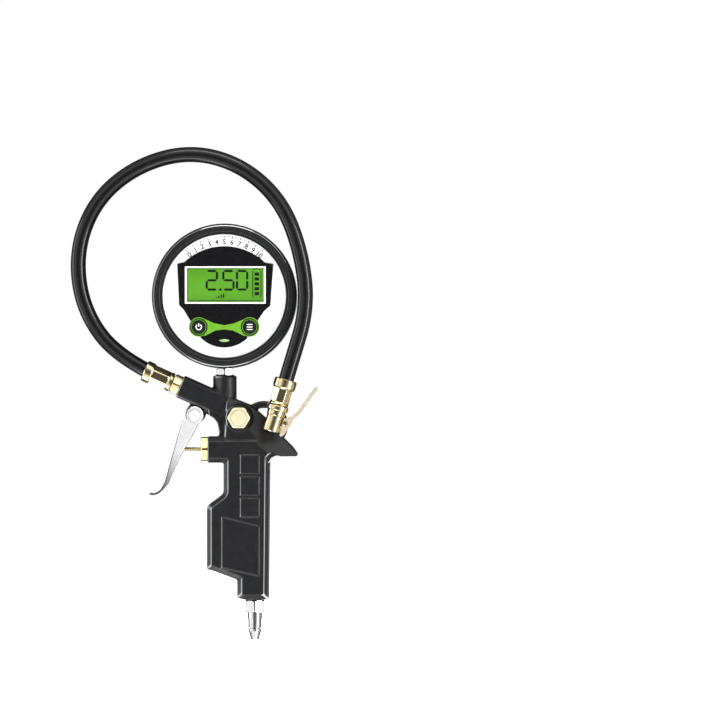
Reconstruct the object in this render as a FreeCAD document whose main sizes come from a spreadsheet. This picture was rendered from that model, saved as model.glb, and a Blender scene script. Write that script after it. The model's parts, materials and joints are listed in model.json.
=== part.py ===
import FreeCAD, Part
import Sketcher
import math
import os

# A tyre inflator with a digital pressure gauge: pistol body, trigger valve, gauge on a stem, hose and
# clip-on chuck.  Millimetres.  The origin is on the axis of the air-inlet plug, at the shoulder under its
# hexagon.  +Z runs up the grip, +X points from the trigger to the back of the hand, and -Y faces the reader.

SIZES = {
    # air-inlet plug, measured from its shoulder
    "plug_hex_flats": 12.0, "plug_hex_top": 7.4, "plug_collar_radius": 4.65, "plug_collar_end": 4.6,
    "plug_neck_radius": 4.225, "plug_neck_end": 10.2, "plug_groove_radius": 3.1, "plug_groove_end": 11.0,
    "plug_head_radius": 4.1, "plug_tip_radius": 2.45, "plug_tip_end": 18.0, "plug_bore_radius": 1.6,
    "plug_thread_radius": 4.8, "plug_thread_top": 18.0, "inlet_seal_top": 8.4, "inlet_seal_radius": 5.9,
    # cast body: grip block
    "grip_half": 12.0, "grip_right_low": 9.1, "grip_right_high": 10.0, "grip_front": -20.2,
    "grip_edge": 3.2, "lobe_front": -31.0, "lobe_top": 69.1, "lobe_bottom": 28.1, "step_front": -11.3,
    "valve_box_front": -30.4, "valve_box_bottom": 97.0, "valve_box_top": 114.0,
    "panel_left": -9.3, "panel_right": 2.9, "panel_base": 62.0, "panel_height": 12.2, "panel_pitch": 14.0,
    "panel_rise": 0.8, "panel_root": 0.5, "panel_edge": 0.35, "slant_left": -21.3,
    # cast body: head, tail, arm, bosses and hanging eye
    "head_half": 10.8, "tail_tip": 28.1, "tail_under": 100.8, "ridge_offset": 84.4, "ridge_angle": 42.5,
    "ridge_slope": 0.444, "ridge_start": 125.0, "ridge_length": 100.0, "neck_edge": 1.2, "neck_half": 7.2,
    "tail_edge": 0.9,
    "arm_flats": 15.0, "arm_edge": 1.8, "arm_slope": 24.0, "arm_length": 36.0, "arm_x": -48.4,
    "arm_z": 146.5, "boss_radius": 7.7, "boss_base": 127.0, "boss_top": 153.3, "lug_x": -38.3,
    "lug_z": 129.2, "lug_radius": 6.5, "lug_half": 5.0, "eye_x": 5.9, "eye_z": 121.4,
    "eye_outer_radius": 15.6, "eye_inner_radius": 11.0, "eye_half": 3.5, "eye_edge": 1.4,
    "junction_x": -10.1, "junction_z": 126.2, "junction_boss_radius": 8.6, "junction_face": 11.4,
    # air passages in the body
    "inlet_passage_radius": 3.5, "chamber_z": 105.8, "chamber_radius": 5.5, "chamber_end": 6.5,
    "passage_radius": 2.4, "cross_hole_radius": 4.5, "cross_hole_half": 5.5, "thread_gap": 0.05,
    "riser_x": -17.0, "riser_length": 25.0, "riser_tilt": 18.6, "filter_base": 18.2, "filter_top": 19.8,
    "filter_radius": 4.7, "filter_hole_radius": 0.35, "filter_pitch": 1.25,
    # junction plug
    "junction_flats": 13.0, "junction_hex": 4.0, "junction_cap_radius": 4.7, "junction_cap": 0.9,
    "washer_thickness": 0.8, "junction_thread_end": 1.0,
    # trigger valve, along X
    "gland_flats": 15.6, "gland_front": -35.0, "gland_thread_end": -21.0, "stem_radius": 1.2,
    "stem_gap": 0.05, "stem_tip": -50.7, "ring_groove": -26.0, "packing_length": 2.4,
    "packing_radius": 2.6, "seat_front": -10.5, "seat_back": -6.5, "seat_hole_radius": 2.4,
    "poppet_radius": 4.0, "poppet_length": 3.2, "valve_spring_radius": 3.4, "valve_spring_wire": 0.7,
    # trigger
    "pivot_x": -39.1, "pivot_z": 127.8, "ear_radius": 5.8, "ear_inner": 5.3, "sheet_thickness": 1.2,
    "pivot_radius": 2.0, "pivot_gap": 0.05, "pivot_head_radius": 3.5, "pivot_head": 1.3,
    # gauge, measured from its centre; depths run towards -Y
    "gauge_x": -19.5, "gauge_z": 205.0, "boot_radius": 46.9, "boot_wall_radius": 43.7,
    "boot_lip_radius": 41.3, "frame_inner_radius": 39.9, "boot_front": 15.3, "boot_back": 16.0,
    "boot_lip": 2.6, "boot_edge": 4.8,
    "boot_back_radius": 40.0, "case_radius": 43.5, "case_wall": 2.2, "case_back": 13.3, "case_floor": 11.1,
    "case_rim": 6.0, "frame_front": 12.5, "frame_step": 10.9, "dial_radius": 41.3, "dial_back": 9.4,
    "dial_front": 10.8, "panel_front": 11.7, "window_width": 49.8, "window_height": 22.1, "window_x": 0.65,
    "window_z": 7.1, "lcd_frame_width": 52.3, "lcd_frame_height": 24.1, "lcd_frame_front": 12.1,
    "glass_back": 10.35, "glass_front": 11.1, "lcd_back": 6.6, "lcd_front": 10.1, "segment_front": 10.3,
    "board_radius": 38.0, "board_back": 4.4, "board_front": 6.0, "pillar_radius": 3.0, "pillar_hole": 1.6,
    "screw_radius": 1.25, "screw_head_radius": 2.6, "button_x": 16.45, "button_z": -20.05,
    "button_radius": 5.6, "button_front": 13.2, "button_gap": 0.1, "trim_ring_radius": 6.3,
    "trim_front": 12.3, "button_flange_radius": 6.3, "button_foot": 8.7, "switch_top": 8.15,
    "led_z": -28.8, "led_half_width": 3.7, "led_half_height": 1.0, "cell_radius": 5.2, "cell_length": 44.0,
    "cell_depth": -2.7, "cell_upper_z": 8.5, "cell_lower_z": -2.5, "door_width": 52.0,
    "door_height": 28.0, "door_z": 3.0, "door_thickness": 1.5, "door_screw_up": 1.9,
    "figure_z": 10.2, "figure_half_width": 3.3, "figure_half_height": 6.0, "figure_stroke": 1.4,
    "figure_gap": 0.5,
    # gauge stem, heights in the body's own frame
    "stem_hex_flats": 10.6, "stem_foot": 141.0, "stem_washer_top": 153.9, "stem_hex_top": 158.0,
    "stem_top": 171.0, "stem_thread_radius": 4.8, "stem_neck_radius": 4.2, "sensor_top": 180.0,
    # hose and its two crimped ferrules
    "hose_radius": 5.0, "hose_bore_radius": 2.5, "barb_radius": 2.45, "ferrule_bore_radius": 5.1,
    "crimp_flats": 12.2, "crimp_radius": 6.45,
    # outlet fitting, measured from the end of the arm
    "outlet_hex_flats": 12.8, "outlet_hex": 5.5, "outlet_neck_radius": 4.5, "outlet_thread": 9.0,
    "outlet_thread_radius": 4.9, "outlet_barb": 22.0, "outlet_crimp": 8.5, "outlet_flange": 20.5,
    "outlet_end": 25.5, "outlet_flange_radius": 7.1,
    # chuck, measured from its mouth along its own axis
    "chuck_x": 10.7, "chuck_y": -16.8, "chuck_z": 117.6, "chuck_tilt": 16.6, "mouth_radius": 5.45,
    "valve_bore_radius": 4.05, "valve_bore_depth": 6.2, "chuck_bore_radius": 3.6, "mouth_length": 10.5,
    "chuck_collar_radius": 6.0, "chuck_collar_end": 14.0, "adapter_radius": 7.1, "adapter_end": 17.5,
    "chuck_barb": 31.0, "chuck_flange": 29.0, "chuck_end": 35.0, "chuck_flange_radius": 7.5,
    "rivet_offset": 7.3, "rivet_height": 7.7, "rivet_radius": 0.9, "lug_plate": 1.1, "lug_plate_gap": 1.4,
    "cheek_inner": 2.7, "cheek_thickness": 1.0, "depressor_radius": 1.0, "depressor_tip": 6.6,
    "depressor_flange": 9.9, "depressor_top": 10.8, "depressor_spring_radius": 1.45,
    "lever_spring_radius": 1.35, "lever_spring_half": 1.25, "fine_wire": 0.5,
}

# The hose's free line, from inside the outlet ferrule to inside the chuck ferrule.
HOSE_ROUTE = [
    (-56.6, 0.0, 150.15), (-88.0, 0.0, 164.13), (-111.5, -0.5, 195.0), (-116.5, -1.5, 233.5),
    (-103.5, -3.0, 267.5), (-76.0, -5.0, 290.0), (-41.5, -7.5, 299.0), (-8.5, -10.0, 290.0),
    (17.5, -12.5, 266.5), (30.5, -15.0, 233.0), (34.5, -16.2, 197.0), (23.3, -16.8, 159.8),
    (16.0, -16.8, 135.4),
]

doc = FreeCAD.newDocument("TyreInflator")
sheet = doc.addObject("Spreadsheet::Sheet", "Sizes")
for row, (alias, number) in enumerate(SIZES.items(), 1):
    sheet.set("A%d" % row, alias)
    sheet.set("B%d" % row, repr(number))
    sheet.setAlias("B%d" % row, alias)
doc.recompute()


class Size:
    """A length that carries its number and the spreadsheet expression that it comes from."""

    def __init__(self, number, text=None):
        self.number = float(number)
        self.text = text or repr(float(number))

    def __add__(self, other):
        other = as_size(other)
        return Size(self.number + other.number, "(%s + %s)" % (self.text, other.text))

    def __sub__(self, other):
        other = as_size(other)
        return Size(self.number - other.number, "(%s - %s)" % (self.text, other.text))

    def __rsub__(self, other):
        return as_size(other) - self

    def __mul__(self, factor):
        factor = as_size(factor)
        return Size(self.number * factor.number, "(%s * %s)" % (self.text, factor.text))

    def __neg__(self):
        return Size(-self.number, "(0 - %s)" % self.text)

    def __truediv__(self, divisor):
        return self * (1.0 / divisor)

    __radd__ = __add__
    __rmul__ = __mul__


def as_size(value):
    return value if isinstance(value, Size) else Size(value)


class Cells:
    """Reads a cell of the sheet by its alias, as a Size."""

    def __getattr__(self, alias):
        return Size(sheet.get(alias), "Sizes." + alias)


S = Cells()
HEX_CORNER = 2.0 / math.sqrt(3.0)
TO_READER = FreeCAD.Rotation(FreeCAD.Vector(1, 0, 0), 90)
ALONG_X = FreeCAD.Rotation(FreeCAD.Vector(0, 1, 0), 90)
UPRIGHT = FreeCAD.Rotation()


def spin_y(degrees):
    return FreeCAD.Rotation(FreeCAD.Vector(0, 1, 0), degrees)


class Spot:
    """A place for a piece: three bound coordinates and a rotation."""

    def __init__(self, x=0, y=0, z=0, turn=UPRIGHT):
        self.at = [as_size(x), as_size(y), as_size(z)]
        self.turn = turn

    def inside(self, x, y, z, turn=UPRIGHT):
        """The same place moved by x, y, z in its own axes, then turned."""
        shift = self.turn.multVec(FreeCAD.Vector(*[as_size(v).number for v in (x, y, z)]))
        at = [mine + step for mine, step in zip(self.at, shift)]
        return Spot(*at, self.turn.multiply(turn))


HOME = Spot()
VALVE = Spot(0, 0, S.chamber_z, ALONG_X)
JUNCTION = Spot(S.junction_x, 0, S.junction_z, TO_READER)
PIVOT = Spot(S.pivot_x, 0, S.pivot_z, TO_READER)
GAUGE = Spot(S.gauge_x, 0, S.gauge_z, TO_READER)
GAUGE_STEM = Spot(S.gauge_x, 0, 0)
OUTLET = Spot(S.arm_x, 0, S.arm_z, spin_y(S.arm_slope.number - 90))
CHUCK = Spot(S.chuck_x, S.chuck_y, S.chuck_z, spin_y(S.chuck_tilt.number))


def bind(thing, name, size):
    size = as_size(size)
    if name.startswith("Placement"):
        thing.setExpression(name, size.text)
    else:
        setattr(thing, name, size.number)
        thing.setExpression(name, size.text)


def put(thing, spot):
    numbers = [size.number for size in spot.at]
    thing.Placement = FreeCAD.Placement(FreeCAD.Vector(*numbers), spot.turn)
    for letter, size in zip("xyz", spot.at):
        if size.text != "0.0":
            bind(thing, "Placement.Base." + letter, size)
    return thing


# ---------------------------------------------------------------- sketches and their features

def pin_vertex(sketch, line, end, point):
    """Holds a line's end point at bound coordinates."""
    for kind, size in zip(("DistanceX", "DistanceY"), point):
        index = sketch.addConstraint(Sketcher.Constraint(kind, -1, 1, line, end, size.number))
        sketch.setExpression("Constraints[%d]" % index, size.text)


def draw_loop(sketch, points):
    """Draws a closed outline of bound points."""
    points = [(as_size(x), as_size(y)) for x, y in points]
    flat = [FreeCAD.Vector(x.number, y.number, 0) for x, y in points]
    lines = [sketch.addGeometry(Part.LineSegment(a, b)) for a, b in zip(flat, flat[1:] + flat[:1])]
    for line, following in zip(lines, lines[1:] + lines[:1]):
        sketch.addConstraint(Sketcher.Constraint("Coincident", line, 2, following, 1))
    for line, point in zip(lines, points):
        pin_vertex(sketch, line, 1, point)


def draw_circle(sketch, x, y, radius):
    x, y, radius = as_size(x), as_size(y), as_size(radius)
    centre = FreeCAD.Vector(x.number, y.number, 0)
    circle = sketch.addGeometry(Part.Circle(centre, FreeCAD.Vector(0, 0, 1), radius.number))
    pin_vertex(sketch, circle, 3, (x, y))
    index = sketch.addConstraint(Sketcher.Constraint("Radius", circle, radius.number))
    sketch.setExpression("Constraints[%d]" % index, radius.text)


def new_sketch(body, plane, height=0):
    """A sketch on one of the body's own origin planes, or height above it along its normal."""
    sketch = body.newObject("Sketcher::SketchObject", body.Label + "_sketch")
    role = [f for f in body.Origin.OriginFeatures if f.Role == plane][0]
    sketch.AttachmentSupport = [(role, "")]
    sketch.MapMode = "FlatFace"
    if as_size(height).text != "0.0":
        bind_offset(sketch, height)
    return sketch


def bind_offset(sketch, height):
    height = as_size(height)
    sketch.AttachmentOffset = FreeCAD.Placement(FreeCAD.Vector(0, 0, height.number), UPRIGHT)
    sketch.setExpression("AttachmentOffset.Base.z", height.text)


def new_body(label, spot=HOME):
    body = doc.addObject("PartDesign::Body", label)
    body.Label = label
    return put(body, spot)


def pad(body, sketch, length, symmetric=False):
    feature = body.newObject("PartDesign::Pad", body.Label + "_pad")
    feature.Profile = sketch
    bind(feature, "Length", length)
    feature.SideType = "Symmetric" if symmetric else "One side"
    return feature


def turned(label, outline, spot=HOME):
    """A turned piece: an outline of (radius, height) revolved about its own Z axis."""
    body = new_body(label, spot)
    sketch = new_sketch(body, "XZ_Plane")
    draw_loop(sketch, outline)
    feature = body.newObject("PartDesign::Revolution", label + "_turn")
    feature.Profile = sketch
    feature.ReferenceAxis = (sketch, ["V_Axis"])
    feature.Angle = 360.0
    return body


def plate(label, outline, low, high, spot=HOME, circles=(), plane="XY_Plane"):
    """A flat piece: an outline in its own XY plane, from height low to height high."""
    body = new_body(label, spot)
    sketch = new_sketch(body, plane, low)
    if outline:
        draw_loop(sketch, outline)
    for x, y, radius in circles:
        draw_circle(sketch, x, y, radius)
    pad(body, sketch, as_size(high) - low)
    return body


def slab(label, outline, half, spot=HOME):
    """A flat piece in the XZ plane, as thick on each side of it."""
    body = new_body(label, spot)
    sketch = new_sketch(body, "XZ_Plane")
    draw_loop(sketch, outline)
    pad(body, sketch, as_size(half) * 2, symmetric=True)
    return body


def dress(body, kind, size, wanted):
    """Rounds or bevels the edges of a body's tip that wanted(edge) picks."""
    doc.recompute()
    base = body.Tip
    names = ["Edge%d" % n for n, edge in enumerate(base.Shape.Edges, 1) if wanted(edge)]
    feature = body.newObject("PartDesign::" + kind, "%s_%s" % (body.Label, kind.lower()))
    feature.Base = (base, names)
    bind(feature, "Radius" if kind == "Fillet" else "Size", size)
    return body


# ---------------------------------------------------------------- primitives and booleans

def rod(label, radius, low, high, spot=HOME):
    cylinder = doc.addObject("Part::Cylinder", label)
    bind(cylinder, "Radius", radius)
    bind(cylinder, "Height", as_size(high) - low)
    return put(cylinder, spot.inside(0, 0, low))


def prism(label, sides, flats, low, high, spot=HOME, turn=0.0):
    shape = doc.addObject("Part::Prism", label)
    shape.Polygon = sides
    bind(shape, "Circumradius", as_size(flats) * (0.5 / math.cos(math.pi / sides)))
    bind(shape, "Height", as_size(high) - low)
    return put(shape, spot.inside(0, 0, low, FreeCAD.Rotation(FreeCAD.Vector(0, 0, 1), turn)))


def block(label, low, high, spot=HOME):
    """A box between two corners, given in the spot's own axes."""
    shape = doc.addObject("Part::Box", label)
    for name, a, b in zip(("Length", "Width", "Height"), low, high):
        bind(shape, name, as_size(b) - a)
    return put(shape, spot.inside(*low))


def fuse(label, pieces):
    result = doc.addObject("Part::MultiFuse", label)
    result.Shapes = pieces
    result.Refine = True
    return result


def cut(label, base, tools):
    result = doc.addObject("Part::Cut", label)
    result.Base = base
    result.Tool = tools[0] if len(tools) == 1 else fuse(label + "_cutters", tools)
    return result


def faceted(label, blank, sides, flats, low, high, spot, turn=0.0, reach=20.0):
    """Mills flats on a turned blank, between two heights."""
    ring = rod(label + "_mill", reach, low, high, spot)
    core = prism(label + "_flats", sides, flats, low, high, spot, turn)
    return cut(label, blank, [cut(label + "_sleeve", ring, [core])])


def spring(label, spot, radius, wire, low, high, coils):
    """A helical spring, closed as one swept wire."""
    pitch = (high - low - wire) / coils
    path = Part.makeHelix(pitch, high - low - wire, radius)
    path.translate(FreeCAD.Vector(0, 0, low + wire / 2))
    start = path.Edges[0].valueAt(path.Edges[0].FirstParameter)
    heading = path.Edges[0].tangentAt(path.Edges[0].FirstParameter)
    profile = Part.Wire([Part.Circle(start, heading, wire / 2).toShape()])
    swept = Part.Wire(path.Edges).makePipeShell([profile], True, True)
    feature = doc.addObject("Part::Feature", label)
    feature.Shape = swept if swept.ShapeType == "Solid" else swept.Solids[0]
    return put(feature, spot)


PIECES = {}


def piece(feature, name=None):
    """Names the finished sub-part, and its file."""
    name = name or feature.Label
    feature.Label = name
    PIECES[name] = feature
    return feature


# ---------------------------------------------------------------- the cast body

def upright_edge(x, z, reach=0.6):
    """Picks the edge across the body that stands at x, z."""
    def wanted(edge):
        box = edge.BoundBox
        return box.YLength > 5 and abs(box.Center.x - x) < reach and abs(box.Center.z - z) < reach \
            and box.XLength < reach and box.ZLength < reach
    return wanted


def side_edges(half):
    """Picks the edges that bound the two side faces."""
    def wanted(edge):
        box = edge.BoundBox
        return box.YLength < 0.01 and abs(abs(box.Center.y) - half) < 0.01
    return wanted


def grip_block():
    """The grip, its finger lobe and the valve box, with bevelled side edges."""
    outline = [
        (S.grip_right_low, 8.4), (S.grip_right_high, 99.0), (14.0, 104.0), (4.0, S.valve_box_top),
        (S.valve_box_front, S.valve_box_top), (S.valve_box_front, S.valve_box_bottom),
        (S.grip_front, S.valve_box_bottom), (S.grip_front, S.lobe_top + 7.9),
        (S.lobe_front, S.lobe_top), (S.lobe_front, S.lobe_bottom), (S.lobe_front + 4.2, 27.1),
        (S.step_front, 21.3), (S.step_front, 9.5), (S.step_front + 4.9, 8.4),
    ]
    body = slab("grip_block", outline, S.grip_half)
    dress(body, "Fillet", 4.0, lambda edge: upright_edge(S.lobe_front.number, S.lobe_top.number)(edge)
          or upright_edge(S.grip_front.number, S.lobe_top.number + 7.9)(edge))
    sides = side_edges(S.grip_half.number)
    front, floor = S.valve_box_front.number, S.valve_box_bottom.number
    dress(body, "Chamfer", S.grip_edge, lambda edge: sides(edge)
          and not (abs(edge.BoundBox.Center.x - front) < 0.3 and edge.BoundBox.Center.z > floor))
    return body


def head_block():
    """The head behind the junction, running down into the tail over the hand."""
    outline = [
        (-20.2, 112.0), (-19.6, 118.0), (-19.2, 125.0), (-19.0, 131.0), (-18.0, 136.5), (-16.0, 138.5),
        (-12.5, 138.4), (-3.4, 134.9), (0.5, 132.1), (7.6, 125.8), (19.0, 113.0), (24.6, 107.7),
        (27.7, 103.4), (S.tail_tip, S.tail_under + 1.0), (S.tail_tip - 0.5, S.tail_under),
        (13.6, S.tail_under), (11.2, 99.8), (10.0, 97.2), (5.0, 97.0), (4.0, 112.0),
    ]
    body = slab("head_block", outline, S.head_half)
    sides = side_edges(S.head_half.number)
    dress(body, "Chamfer", S.neck_edge, lambda edge: sides(edge) and edge.BoundBox.Center.x < -18.2)
    return dress(body, "Chamfer", S.tail_edge, lambda edge: sides(edge) and edge.BoundBox.XLength > 10
                 and abs(edge.BoundBox.Center.z - S.tail_under.number) < 0.1)


def neck_web():
    """The set-back neck between the head's plate and the hollow behind the trigger."""
    outline = [(-18.0, 112.0), (-23.5, 112.0), (-23.1, 117.1), (-24.2, 122.7), (-26.6, 125.9),
               (-29.5, 127.6), (-30.5, 134.0), (-18.0, 138.4)]
    return slab("neck_web", outline, S.neck_half)


def lug_web():
    """The thin web that joins the trigger's lug to the arm and the neck."""
    outline = [(-22.0, 120.0), (-24.2, 122.7), (-27.4, 126.6), (-31.5, 128.8), (-35.0, 133.5),
               (-38.0, 138.5), (-22.0, 137.0)]
    return slab("lug_web", outline, S.lug_half)


def arm_bar():
    """The square arm that the outlet hose screws into, with narrow bevels along it."""
    half = S.arm_flats / 2
    body = plate("arm", [(-half, -half), (half, -half), (half, half), (-half, half)], -S.arm_length, 0,
                 OUTLET)
    along = S.arm_length.number * 0.9
    return dress(body, "Chamfer", S.arm_edge, lambda edge: edge.Length > along)


def facet_cutters():
    """Two long wedges that slope the upper edge of the head and tail."""
    along = FreeCAD.Vector(math.cos(math.radians(S.ridge_angle.number)), 0,
                           -math.sin(math.radians(S.ridge_angle.number)))
    across = FreeCAD.Vector(-along.z, 0, along.x)
    half, slope = S.head_half.number, S.ridge_slope.number
    start = across * S.ridge_offset.number - along * S.ridge_start.number
    reach, rise = 40.0, 4.0
    wedges = []
    for side in (-1, 1):
        corners = [(-rise / slope, half + rise), (reach, half - slope * reach), (reach, half + rise)]
        points = [start + across * out + FreeCAD.Vector(0, side * y, 0) for out, y in corners]
        face = Part.Face(Part.makePolygon(points + points[:1]))
        wedge = doc.addObject("Part::Feature", "facet_%s" % ("near" if side < 0 else "far"))
        wedge.Shape = face.extrude(along * S.ridge_length.number)
        wedges.append(wedge)
    return wedges


def hanging_eye():
    body = new_body("hanging_eye")
    sketch = new_sketch(body, "XZ_Plane")
    draw_circle(sketch, S.eye_x, S.eye_z, S.eye_outer_radius)
    draw_circle(sketch, S.eye_x, S.eye_z, S.eye_inner_radius)
    pad(body, sketch, S.eye_half * 2, symmetric=True)
    return dress(body, "Fillet", S.eye_edge, lambda edge: True)


def raised_panels():
    """The low panels on both sides of the grip: three small ones over a large slanted one."""
    outlines = [[(S.panel_left, base), (S.panel_right, base), (S.panel_right, base + S.panel_height),
                 (S.panel_left, base + S.panel_height)]
                for base in (S.panel_base + S.panel_pitch * row for row in range(3))]
    outlines.append([(S.slant_left, 29.3), (S.panel_right, 23.9), (S.panel_right, 56.0),
                     (S.slant_left, 62.0)])
    face, foot = S.grip_half + S.panel_rise, S.grip_half - S.panel_root
    panels = []
    for side, low in (("near", foot), ("far", -face)):
        for row, outline in enumerate(outlines):
            body = new_body("panel_%s_%d" % (side, row))
            sketch = new_sketch(body, "XZ_Plane", low)
            draw_loop(sketch, outline)
            pad(body, sketch, face - foot)
            panels.append(dress(body, "Chamfer", S.panel_edge, side_edges(face.number)))
    return panels


def air_passages():
    """The drilled passages, the threads' holes and the pin hole."""
    arm_bore = S.arm_length + 1.5
    return [
        rod("inlet_thread_hole", S.plug_thread_radius + S.thread_gap, 5.0, 20.0),
        rod("inlet_passage", S.inlet_passage_radius, 19.0, S.chamber_z),
        rod("valve_chamber", S.chamber_radius, S.valve_box_front - 1, S.chamber_end, VALVE),
        rod("riser", S.passage_radius, 0, S.riser_length,
            Spot(S.riser_x, 0, S.chamber_z + 1, spin_y(S.riser_tilt.number))),
        rod("junction_hole", S.cross_hole_radius, -S.cross_hole_half, S.junction_face + 1, JUNCTION),
        rod("arm_passage", S.passage_radius, -arm_bore, 1.0, OUTLET),
        rod("outlet_thread_hole", S.outlet_thread_radius + S.thread_gap, -S.outlet_thread - 0.5, 1.0,
            OUTLET),
        rod("gauge_passage", S.passage_radius, 130.0, S.boss_top, GAUGE_STEM),
        rod("gauge_thread_hole", S.stem_thread_radius + S.thread_gap, S.stem_foot - 0.5, S.boss_top + 1,
            GAUGE_STEM),
        rod("pivot_hole", S.pivot_radius + 0.02, -S.lug_half - 1, S.lug_half + 1, PIVOT),
    ]


def gun_body():
    solids = [grip_block(), head_block()]
    faceted_casting = cut("faceted_casting", fuse("side_casting", solids), facet_cutters())
    bosses = [
        arm_bar(),
        neck_web(),
        lug_web(),
        rod("gauge_boss", S.boss_radius, S.boss_base, S.boss_top, GAUGE_STEM),
        rod("trigger_lug", S.lug_radius, -S.lug_half, S.lug_half, Spot(S.lug_x, 0, S.lug_z, TO_READER)),
        rod("junction_boss", S.junction_boss_radius, 0, S.junction_face, JUNCTION),
        hanging_eye(),
    ]
    casting = fuse("casting", [faceted_casting] + bosses + raised_panels())
    piece(cut("gun_body", casting, air_passages()))


# ---------------------------------------------------------------- air inlet and junction plug

def inlet_pieces():
    corner = S.plug_hex_flats * (HEX_CORNER / 2) - 0.25
    outline = [
        (S.plug_bore_radius, -S.plug_tip_end), (S.plug_tip_radius, -S.plug_tip_end),
        (S.plug_head_radius, -S.plug_groove_end - 0.9), (S.plug_head_radius, -S.plug_groove_end),
        (S.plug_groove_radius, -S.plug_groove_end), (S.plug_groove_radius, -S.plug_neck_end),
        (S.plug_neck_radius, -S.plug_neck_end), (S.plug_neck_radius, -S.plug_collar_end),
        (S.plug_collar_radius, -S.plug_collar_end), (S.plug_collar_radius, 0),
        (corner - 0.6, 0), (corner, 0.6), (corner, S.plug_hex_top - 0.6), (corner - 0.6, S.plug_hex_top),
        (S.plug_thread_radius, S.plug_hex_top), (S.plug_thread_radius, S.plug_thread_top),
        (S.plug_bore_radius, S.plug_thread_top),
    ]
    blank = turned("inlet_plug_blank", outline)
    piece(faceted("inlet_plug", blank, 6, S.plug_hex_flats, 0, S.plug_hex_top, HOME, 30.0))
    washer = [(S.plug_thread_radius + 0.1, S.plug_hex_top), (S.inlet_seal_radius, S.plug_hex_top),
              (S.inlet_seal_radius, S.inlet_seal_top), (S.plug_thread_radius + 0.1, S.inlet_seal_top)]
    piece(turned("inlet_plug_seal", washer))
    screen = turned("filter_blank", [(0, S.filter_base), (S.filter_radius, S.filter_base),
                                     (S.filter_radius, S.filter_top), (0, S.filter_top)])
    holes = []
    for ring in (1, 2):
        for step in range(6 * ring):
            angle = step * math.pi / (3 * ring)
            spot = Spot(S.filter_pitch * (ring * math.cos(angle)),
                        S.filter_pitch * (ring * math.sin(angle)), 0)
            holes.append(rod("filter_hole_%d_%d" % (ring, step), S.filter_hole_radius, S.filter_base - 0.2,
                             S.filter_top + 0.2, spot))
    piece(cut("inlet_filter_screen", screen, holes))


def junction_pieces():
    face = S.junction_face + S.washer_thickness
    corner = S.junction_flats * (HEX_CORNER / 2) - 0.3
    top = face + S.junction_hex
    outline = [
        (0, S.junction_thread_end), (S.cross_hole_radius - 0.05, S.junction_thread_end),
        (S.cross_hole_radius - 0.05, face), (corner - 0.5, face), (corner, face + 0.4),
        (corner, top - 0.5), (corner - 0.8, top), (S.junction_cap_radius, top),
        (S.junction_cap_radius, top + S.junction_cap - 0.3),
        (S.junction_cap_radius - 0.4, top + S.junction_cap), (0, top + S.junction_cap),
    ]
    blank = turned("junction_plug_blank", outline, JUNCTION)
    piece(faceted("junction_plug", blank, 6, S.junction_flats, face, top, JUNCTION, 0.0))
    washer = [(S.cross_hole_radius + 0.1, S.junction_face), (S.junction_boss_radius - 0.8, S.junction_face),
              (S.junction_boss_radius - 0.8, face), (S.cross_hole_radius + 0.1, face)]
    piece(turned("junction_plug_washer", washer, JUNCTION))


# ---------------------------------------------------------------- trigger valve

def valve_pieces():
    hole = S.stem_radius + S.stem_gap
    corner = S.gland_flats * (HEX_CORNER / 2) - 0.35
    pocket = S.ring_groove + S.packing_length
    outline = [
        (hole, S.gland_front), (corner - 0.8, S.gland_front), (corner, S.gland_front + 0.8),
        (corner, S.valve_box_front - 0.4), (corner - 0.4, S.valve_box_front),
        (S.chamber_radius - S.thread_gap, S.valve_box_front),
        (S.chamber_radius - S.thread_gap, S.gland_thread_end), (S.packing_radius + 0.05, S.gland_thread_end),
        (S.packing_radius + 0.05, S.ring_groove), (hole, S.ring_groove),
    ]
    blank = turned("gland_blank", outline, VALVE)
    piece(faceted("valve_gland_nut", blank, 6, S.gland_flats, S.gland_front, S.valve_box_front, VALVE, 30.0))
    packing = [(hole, S.ring_groove + 0.05), (S.packing_radius, S.ring_groove + 0.05),
               (S.packing_radius, pocket), (hole, pocket)]
    piece(turned("gland_packing", packing, VALVE))
    follower = [(hole, pocket + 0.05), (S.packing_radius, pocket + 0.05),
                (S.packing_radius, S.gland_thread_end), (hole, S.gland_thread_end)]
    piece(turned("packing_follower", follower, VALVE))
    stem = [(0, S.stem_tip), (S.stem_radius - 0.5, S.stem_tip), (S.stem_radius, S.stem_tip + 0.5),
            (S.stem_radius, S.seat_back + 0.1), (0, S.seat_back + 0.1)]
    piece(turned("valve_stem", stem, VALVE))
    poppet = [(0, S.seat_back + 0.15), (S.poppet_radius, S.seat_back + 0.15),
              (S.poppet_radius, S.seat_back + S.poppet_length - 0.6),
              (S.poppet_radius - 0.6, S.seat_back + S.poppet_length), (0, S.seat_back + S.poppet_length)]
    piece(turned("valve_poppet", poppet, VALVE))
    seat = [(S.seat_hole_radius, S.seat_front), (S.chamber_radius - 0.05, S.seat_front),
            (S.chamber_radius - 0.05, S.seat_back), (S.seat_hole_radius + 0.6, S.seat_back),
            (S.seat_hole_radius, S.seat_back - 0.6)]
    piece(turned("valve_seat", seat, VALVE))
    piece(spring("valve_spring", VALVE, S.valve_spring_radius.number, S.valve_spring_wire.number,
                 S.seat_back.number + S.poppet_length.number + 0.1, S.chamber_end.number - 0.1, 5))


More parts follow.
